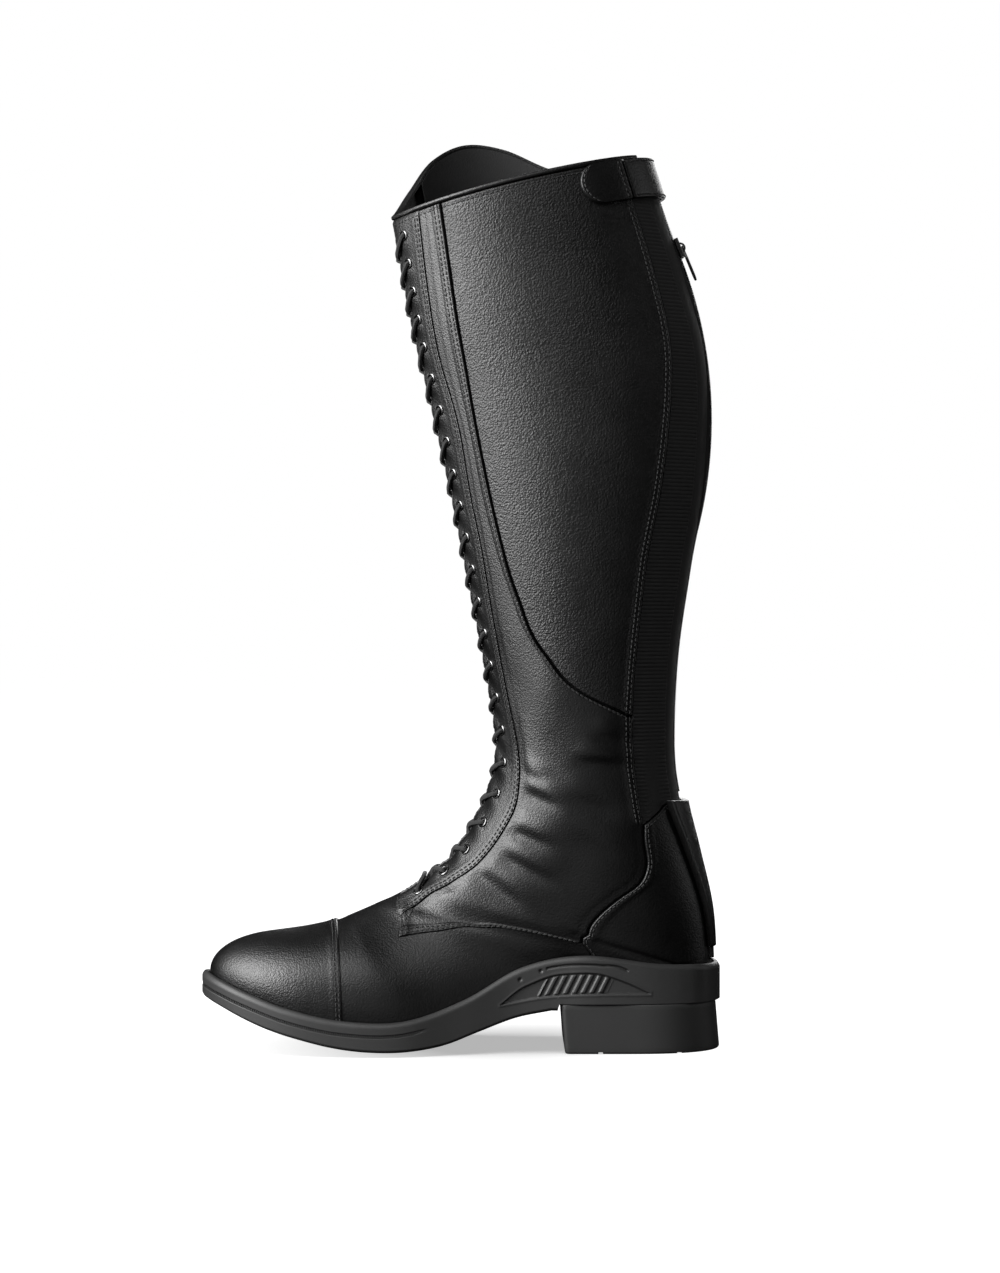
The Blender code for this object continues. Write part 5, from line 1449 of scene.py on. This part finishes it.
def make_binding(name, side):
    """Rolled leather binding on the topline."""
    turn = np.linspace(0.0, math.tau, BINDING_SIDES + 1)[:-1]
    wave, rise = (np.sign(u) * np.abs(u) ** BINDING_SQUARENESS for u in (np.cos(turn), np.sin(turn)))
    ends = front_girth(TOPLINE, FACING_GAP / 2), back_girth(TOPLINE, ZIP_HALF_WIDTH)
    t = np.linspace(*ends, BINDING_STATIONS)
    head = top_section(t, side)[:, None] - (BINDING_RISE + BINDING_HALF[1] * rise) / SECTION_PITCH
    lift = np.broadcast_to(BINDING_CENTRE + BINDING_HALF[0] * wave, head.shape)
    verts = surface(head, side * t[:, None] + 0.0 * head, lift)
    mesh = mesh_from("topline_binding", verts.reshape(-1, 3), tube_faces(*head.shape))
    piece(f"topline_binding_{name}_leather", mesh, "smooth_leather", ["topline_binding_" + name])


def arc_rise(s):
    """Offset from the back line to the zip arc, where the two run side by side."""
    back = last(s, 1.0 + 0.0 * s)
    away = np.hypot(back[..., 0] - ZIP_ARC_CENTRE[0], back[..., 2] - ZIP_ARC_CENTRE[1])
    return np.clip(ZIP_ARC_RADIUS - away, -ARC_RISE_LIMIT, ARC_RISE_LIMIT)


def make_zip_coil():
    """Two rows of coil teeth that hook into each other along the back line."""
    s = np.linspace(TOPLINE + SEAM_STEP, CHAIN_FOOT, ZIP_SAMPLES)
    run = lengths(last(s, 1.0 + 0.0 * s))
    spots = np.arange(0.0, run[-1], COIL_PITCH)
    paths = []
    for side, shift in ((-1, 0.0), (1, COIL_PITCH / 2)):
        rows = np.interp(spots + shift, run, s)
        reach, rise = np.array(COIL_SHAPE).T
        level = np.repeat(rows[:, None], len(reach), axis=1)
        paths.append(back_strip(level, side * reach + 0.0 * level, rise + arc_rise(level)))
    paths = np.concatenate(paths)
    centre = np.array([ZIP_ARC_CENTRE[0], 0.0, ZIP_ARC_CENTRE[1]])
    verts, faces = tubes(paths, unit(paths - centre), [COIL_RADIUS] * len(COIL_SHAPE), COIL_SIDES)
    piece("zip_coil", mesh_from("zip_coil", verts, faces), "zip_chain_plastic")


def feather(s):
    """Feather line, medial side, with the outward direction in plan."""
    tangent = last(s + FEATHER_STEP, -1.0) - last(s - FEATHER_STEP, -1.0)
    outward = unit(np.stack([-tangent[:, 1], tangent[:, 0], 0.0 * s], -1))
    outward[0], outward[-1] = (1.0, 0.0, 0.0), (-1.0, 0.0, 0.0)
    return last(s, -1.0), outward


def lip_reach(s):
    """How far the upper bulges out past the feather line within the height of the sole's lip."""
    stations, rows, columns = LIP_SAMPLES
    few = np.linspace(HEEL_SEAT, TOE_TIP, stations)
    edge, out = feather(few)
    grid_s, w = np.meshgrid(np.linspace(HEEL_SEAT - 1.0, TOE_TIP, rows), np.linspace(*LIP_GIRTH, columns))
    away = last(grid_s, w).reshape(-1, 1, 3) - edge
    along = np.abs(away[..., 0] * out[:, 1] - away[..., 1] * out[:, 0])
    close = (along < LIP_REACH) & (np.abs(away[..., 2]) < SOLE_TUCK + LIP_MARGIN)
    return smooth(few, np.where(close, (away * out).sum(axis=-1), 0.0).max(axis=0))(s)


def sole_stations():
    """Section numbers round half the sole, close together along the moulded waist."""
    s = np.linspace(HEEL_SEAT, TOE_TIP, SOLE_SAMPLES)
    edge = last(s, -1.0)
    fine = band(edge[:, 0], *FINE_SPAN)
    count = np.concatenate([[0.0], np.cumsum(np.diff(lengths(edge)) / mix(*SOLE_STEPS, fine[1:]))])
    return np.interp(np.linspace(0.0, count[-1], int(count[-1])), count, s)


def polyline(points, x):
    return smooth(*np.array(points).T)(x)


def crescent(x, z):
    """Relief of the moulding on the waist of the sole: a recess with slanted ribs, a groove and two dots."""
    inside = np.minimum(z - polyline(CRESCENT_FOOT, x), polyline(CRESCENT_HEAD, x) - z)
    inside = np.minimum(inside, np.minimum(x - CRESCENT_X[0], CRESCENT_X[1] - x))
    slanted = x - CRESCENT_SLANT * (z - CRESCENT_LEVEL)
    turn = np.cos((slanted - CRESCENT_RIBS[0]) * math.tau / CRESCENT_PITCH)
    banded = band(slanted, *softened(CRESCENT_RIBS, RIB_SOFTNESS))
    rib = banded * fade(turn, *RIB_WAVE) * fade(inside, *RIB_INSET)
    relief = -CRESCENT_DEPTH * fade(inside, *CRESCENT_BEVEL) * (1.0 - rib)
    rise, middle, width = CRESCENT_RIM
    relief += rise * np.exp(-((inside - middle) / width) ** 2)
    along = band(x, *softened((ARCH_LINE[0][0], ARCH_LINE[-1][0]), ARCH_SOFTNESS))
    relief -= ARCH_DEPTH * along * np.exp(-((z - polyline(ARCH_LINE, x)) / ARCH_WIDTH) ** 2)
    for dot in ARCH_DOTS:
        relief -= ARCH_DEPTH * np.exp(-((x - dot[0]) ** 2 + (z - dot[1]) ** 2) / DOT_RADIUS ** 2)
    return relief


def sole_wall():
    """Stations round half the sole with the wall line, outward directions, lip and bottom heights."""
    s = sole_stations()
    edge, out = feather(s)
    wall = edge + out * (lip_reach(s) + SOLE_CLEARANCE)[:, None]
    at_heel = fade(edge[:, 0], BREAST_STEP - BREAST_FADE, BREAST_STEP + BREAST_FADE)
    bottom = mix(smooth(SOLE_BOTTOM_X, SOLE_BOTTOM_Z)(edge[:, 0]), HEEL_TOP + HEEL_GAP, at_heel)
    return s, edge, out, wall, edge[:, 2] + SOLE_TUCK, bottom, at_heel


def groove_share(x):
    return fade(x, *GROOVE_END)


def level(points, z):
    placed = points.copy()
    placed[:, 2] = z
    return placed


def mirror_side(points, swing):
    flipped = points.copy()
    flipped[:, 1] = -points[:, 1] - 2 * swing
    return flipped


def make_outsole():
    """Moulded cup sole: rounded lip, grooved and moulded wall, bevelled edge and treaded bottom."""
    s, edge, out, wall, lip, bottom, at_heel = sole_wall()
    rings = [level(wall, edge[:, 2] - SOLE_FLOOR_DROP)]
    rings += [level(wall + out * o, lip + z) for o, z in LIP_PROFILE]
    head = lip + LIP_PROFILE[-1][1]
    bevel = mix(SOLE_EDGE, HEEL_JOINT, at_heel)
    for f in np.linspace(0.0, 1.0, WALL_ROWS)[1:]:
        z = mix(head, bottom + bevel, f)
        spot = wall + out * WALL_OUT
        below = (lip - z - GROOVE_DROP) / GROOVE_WIDTH
        groove = GROOVE_DEPTH * groove_share(spot[:, 0]) * np.exp(-below ** 4)
        rings.append(level(spot + out * (crescent(spot[:, 0], z) - groove)[:, None], z))
    for inset, rise in ((BEVEL_BULGE, BEVEL_BULGE), (1.0, 0.0)):
        rings.append(level(wall + out * (WALL_OUT - inset * bevel)[:, None], bottom + rise * bevel))
    edge_line = rings[-1]
    middle = level(edge, np.where(at_heel > 0.5, bottom, np.maximum(bottom - TREAD_CROWN, 0.0)))
    middle[:, 1] = -swing_at(s)
    pitch, share, depth = TREAD_GROOVE
    for f in np.linspace(0.0, 1.0, TREAD_ROWS + 1)[1:-1]:
        line = mix(edge_line, middle, f)
        line[:, 2] = mix(bottom, middle[:, 2], math.sin(f * math.pi / 2))
        wave = np.cos((line[:, 0] + TREAD_SLANT * np.abs(line[:, 1])) * math.tau / pitch)
        cut = band(line[:, 0], *TREAD_SPAN) * fade(wave, 1.0 - TREAD_WALL * share, 1.0 - share)
        line[:, 2] += depth * cut * fade(f, 0.0, TREAD_START)
        rings.append(line)
    floor = level(edge, edge[:, 2] - SOLE_FLOOR_DROP)
    floor[:, 1] = -swing_at(s)
    loop = rings + [middle] + [mirror_side(ring, swing_at(s)) for ring in rings[::-1]] + [floor]
    count, stations = len(loop), len(s)
    index = np.arange(count * stations).reshape(count, stations)
    index = np.concatenate([index, index[:1]])
    mesh = mesh_from("outsole", np.concatenate(loop), strip(index[:-1], index[1:]), merge=True)
    piece("outsole_rubber", mesh, "sole_rubber", ["outsole"])


def make_welt_ticks():
    """Fine upright ribs in the groove round the forefoot."""
    s, _, out, wall, lip, _, _ = sole_wall()
    spot = wall + out * WALL_OUT
    run = lengths(spot)
    ticks = np.arange(0.0, run[-1], TICK_PITCH)
    ticks = ticks[np.interp(ticks, run, groove_share(spot[:, 0])) > 0.5]
    wide, deep, tall = TICK_SIZE
    square = ((-1, -1), (1, -1), (1, 1), (-1, 1))
    corners = np.array([(x, y, z) for z in (-1, 1) for x, y in square]) / 2
    box = np.array(tube_faces(2, len(square)))
    verts, faces = [], []
    for side in (-1, 1):
        base = level(spot, lip - GROOVE_DROP)
        ways = out.copy()
        if side > 0:
            base = mirror_side(base, swing_at(s))
            ways[:, 1] *= -1
        for tick in ticks:
            centre = np.array([np.interp(tick, run, base[:, i]) for i in range(3)])
            outward = unit(np.array([np.interp(tick, run, ways[:, i]) for i in range(3)]))
            beside = np.array([-outward[1], outward[0], 0.0])
            sized = corners * (wide, deep, tall)
            faces.append(box + len(verts) * len(corners))
            axes = np.array([beside, outward, (0.0, 0.0, 1.0)])
            verts.append(centre - outward * TICK_SINK + sized @ axes)
    mesh = mesh_from("welt_ticks", np.concatenate(verts), np.concatenate(faces))
    piece("welt_ticks", mesh, "sole_rubber")


def heel_loop(height, inset):
    """Outline of the heel block at a height, from the back round both sides to the breast."""
    f = height / HEEL_TOP
    front = mix(HEEL_BREAST[1], HEEL_BREAST[0], f) + inset
    back = mix(HEEL_BACK[1], HEEL_BACK[0], f) - inset
    half = mix(HEEL_HALF_WIDTH[1], HEEL_HALF_WIDTH[0], f) - inset
    turning, straights, bends = HEEL_OUTLINE
    turns = np.linspace(0, math.pi / 2, turning)
    along = mix(HEEL_ROUND_FROM, back, np.clip(np.cos(turns), 0.0, 1.0) ** HEEL_ROUNDING)
    across = half * np.sin(turns) ** HEEL_ROUNDING
    straight = np.linspace(HEEL_ROUND_FROM, front + HEEL_CORNER, straights)[1:]
    bend = np.linspace(0, math.pi / 2, bends)[1:]
    x = np.concatenate([along, straight, front + HEEL_CORNER * (1 - np.sin(bend))])
    y = np.concatenate([across, 0 * straight + half, half - HEEL_CORNER * (1 - np.cos(bend))])
    side = np.stack([x, y, 0 * x + height], -1)
    return np.concatenate([side, (side * (1, -1, 1))[:0:-1]])


def carved(block, cutters):
    """Mesh of a block with some boxes cut away."""
    for cutter in cutters:
        cut = block.modifiers.new("Tread groove", "BOOLEAN")
        cut.operation = "DIFFERENCE"
        cut.object = cutter
    bpy.context.view_layer.update()
    mesh = bpy.data.meshes.new_from_object(block.evaluated_get(bpy.context.evaluated_depsgraph_get()))
    block.modifiers.clear()
    for cutter in cutters:
        bpy.data.objects.remove(cutter)
    return mesh


def groove_box(place, side):
    """Box to cut a tread groove from one side of the heel."""
    width, depth, long = HEEL_GROOVE_SIZE
    size = Matrix.Diagonal((width * MM, long * MM, 2 * depth * MM, 1.0))
    spot = Vector((place, side * HEEL_HALF_WIDTH[1], 0.0)) * MM
    bm = bmesh.new()
    bmesh.ops.create_cube(bm, size=1.0, matrix=Matrix.Translation(spot) @ size)
    mesh = bpy.data.meshes.new("heel_groove")
    bm.to_mesh(mesh)
    bm.free()
    box = bpy.data.objects.new("heel_groove", mesh)
    LOOKS.objects.link(box)
    return box


def make_heel_block():
    """Moulded heel with a rounded foot edge and two tread grooves."""
    wall_end, bevel, top = (HEEL_TOP + rise for rise in HEEL_HEAD)
    turns = np.linspace(HEEL_EDGE_TURN, math.pi / 2, HEEL_EDGE_ROWS)
    levels = [(0.0, HEEL_EDGE)]
    levels += [(HEEL_EDGE * (1 - math.cos(turn)), HEEL_EDGE * (1 - math.sin(turn))) for turn in turns]
    levels += [(z, 0.0) for z in np.linspace(HEEL_EDGE, wall_end, HEEL_WALL_ROWS)[1:]]
    levels += [(bevel, 0.5 * HEEL_JOINT), (top, HEEL_JOINT)]
    loops = np.array([heel_loop(*row) for row in levels])
    mesh = mesh_from("heel_block", loops.reshape(-1, 3), tube_faces(*loops.shape[:2]))
    block = piece("heel_block_rubber", mesh, "sole_rubber", ["heel_block"])
    block.data = carved(block, [groove_box(place, side) for place in HEEL_GROOVES for side in SIDES.values()])
    block.data.shade_smooth()
    block.data.set_sharp_from_angle(angle=math.radians(HEEL_SHARP_ANGLE))


def make_snap():
    """Domed cap on the strap and the stud under it on the lateral side."""
    def place(s, t, lift):
        return surface(np.array(s), np.array(t), lift)

    strap_out = TAB[0] + float(strap_rise(1.0 - SNAP_GIRTH))
    snaps = (("snap_cap", CAP_PROFILE, strap_out, "strap"), ("snap_stud", STUD_PROFILE, 0.0, "boot"))
    for name, profile, lift, body in snaps:
        spot = flat_frame(place, SNAP_SECTION, SNAP_GIRTH, lift + SNAP_GAP)
        verts, faces = lathe(profile, [spot], SNAP_SIDES)
        piece(name + "_metal", mesh_from(name, verts, faces, merge=True), "dark_metal", [name], body)


def dress_nodes():
    """Finish every node of the part, and soften the edges of the zip's metal."""
    for row in frame["record"]["subparts"]:
        node = frame["nodes"][row["node"]]
        node.data.materials.clear()
        node.data.materials.append(FINISHES[row["material_slot"]])
    for name in ("zip_slider", "zip_pull"):
        bevel = frame["nodes"][name].modifiers.new("Soft edges", "BEVEL")
        bevel.width = METAL_BEVEL[0] * MM
        bevel.segments = METAL_BEVEL[1]


def make_upper():
    """All the leather and cloth panels with their thread."""
    sewn = {"": [], "medial": [], "lateral": []}

    def lay(name, panel, slot, group="", **mesh_options):
        suffix = slot.split("_")[-1]
        piece(f"{name}_{suffix}", panel.mesh(name, **mesh_options), slot, [name])
        sewn[group].append(panel)

    lay("toe_cap", toe_cap_panel(), "smooth_leather", tip=True)
    lay("vamp", vamp_panel(), "smooth_leather")
    lay("tongue", tongue_panel(), "tongue_leather")
    lay("zip_guard", guard_panel(), "smooth_leather")
    lay("heel_back_tab", back_tab_panel(), "smooth_leather")
    lay("snap_tab", tab_panel(), "smooth_leather")
    for name, side in SIDES.items():
        lay("quarter_" + name, quarter_panel(side), "smooth_leather", name, step=QUARTER_STEP)
        lay("calf_panel_" + name, calf_panel(side), "calf_leather", name)
        lay("heel_counter_" + name, counter_panel(side), "smooth_leather", name)
        lay("elastic_gusset_" + name, elastic_panel(side), "elastic_webbing", name, row_step=WEBBING_ROW_STEP)
        lay("zip_tape_" + name, zip_tape_panel(side), "zip_tape_cloth", name)
        for lining, panel in (("shaft", shaft_lining_panel(side)), ("quarter", quarter_lining_panel(side))):
            lay(f"{lining}_lining_{name}", panel, "lining_leather", name, step=LINING_PANEL_STEP)
        panel, mesh = facing_mesh("facing_" + name, side)
        piece(f"facing_{name}_leather", mesh, "smooth_leather", ["facing_" + name])
        sewn[name].append(panel)
        make_eyelets(name, side)
        make_binding(name, side)
        sew("stitching_" + name, [panel for panel in sewn[name] if any(panel.edges.values())], "lace_cord")
    sew("stitching_toe_and_tab", [panel for panel in sewn[""] if any(panel.edges.values())], "lace_cord")
    strap = strap_panel()
    piece("snap_strap_leather", strap.mesh("snap_strap"), "smooth_leather", ["snap_strap"], "strap")
    sew("stitching_strap", [strap], "lace_cord", "strap")


def softbox(name, place, target, size, power):
    light = bpy.data.lights.new(name, "AREA")
    light.shape = "RECTANGLE"
    light.size, light.size_y = size
    light.energy = power
    lamp = bpy.data.objects.new(name, light)
    lamp.location = Vector(place)
    lamp.rotation_euler = (Vector(target) - Vector(place)).to_track_quat("-Z", "Y").to_euler()
    lamp.visible_camera = False
    bpy.context.scene.collection.objects.link(lamp)
    return lamp


def linked(lamp, state, objects):
    """Light some objects alone with a lamp, or leave them out of its reach."""
    reach = bpy.data.collections.new(lamp.name + "_reach")
    for number, thing in enumerate(objects):
        reach.objects.link(thing)
        reach.collection_objects[number].light_linking.link_state = state
    lamp.light_linking.receiver_collection = reach


def make_floor():
    """Pale floor with a soft contact shadow, partly cast by its lamp and partly painted as a dimmer glow
    under the arch, running out to the white background.
    """
    bm = bmesh.new()
    bmesh.ops.create_circle(bm, cap_ends=True, segments=FLOOR_SIDES, radius=FLOOR_RADIUS * MM)
    mesh = bpy.data.meshes.new("floor")
    bm.to_mesh(mesh)
    bm.free()
    look = Look("pale_floor")
    look.tint(look.texture("Noise", PAPER_SCALE), *greys(1.0, FLOOR_TONES))
    look.put("Roughness", FLOOR_ROUGHNESS)
    look.put("Specular IOR Level", 0.0)
    reach = look.nodes.new("ShaderNodeVectorMath")
    reach.operation = "LENGTH"
    look.links.new(look.coords, reach.inputs[0])
    # Glow rising with distance from the centre: dim under the arch as painted shade, full white further out.
    look.drive("Emission Strength", look.ranged(reach.outputs["Value"], *PAINTED_SHADE_GLOW, PAINTED_SHADE_REACH))
    look.put("Emission Color", WHITE)
    mesh.materials.append(look.made)
    floor = bpy.data.objects.new("floor", mesh)
    floor.location = Vector(FLOOR_CENTRE) * MM
    floor.visible_glossy = False
    floor.visible_diffuse = False
    floor.visible_shadow = False
    bpy.context.scene.collection.objects.link(floor)
    return floor


def make_studio():
    floor = make_floor()
    sole = [bpy.data.objects[name] for name in SOLE_PIECES]
    reaches = {"boot": ("EXCLUDE", [floor]), "sole": ("INCLUDE", sole), "floor": ("INCLUDE", [floor])}
    for *lamp, reach in LAMPS:
        linked(softbox(*lamp), *reaches[reach])
    world = bpy.data.worlds.new("studio")
    bpy.context.scene.world = world
    world.use_nodes = True
    world.node_tree.nodes["Background"].inputs["Color"].default_value = WHITE
    world.cycles_visibility.diffuse = False
    world.cycles_visibility.glossy = False
    bpy.context.scene.view_settings.view_transform = "Standard"


def make_camera():
    data = bpy.data.cameras.new("camera")
    data.lens = CAMERA_LENS
    data.sensor_width = CAMERA_SENSOR
    camera = bpy.data.objects.new("camera", data)
    x, y, z = CAMERA_TARGET
    camera.location = Vector((x, y - CAMERA_DISTANCE, z)) * MM
    camera.rotation_euler = (math.pi / 2, 0.0, 0.0)
    bpy.context.scene.collection.objects.link(camera)
    bpy.context.scene.camera = camera


make_camera()
make_lace()
dress_nodes()
make_upper()
make_zip_coil()
make_snap()
make_outsole()
make_welt_ticks()
make_heel_block()
make_studio()
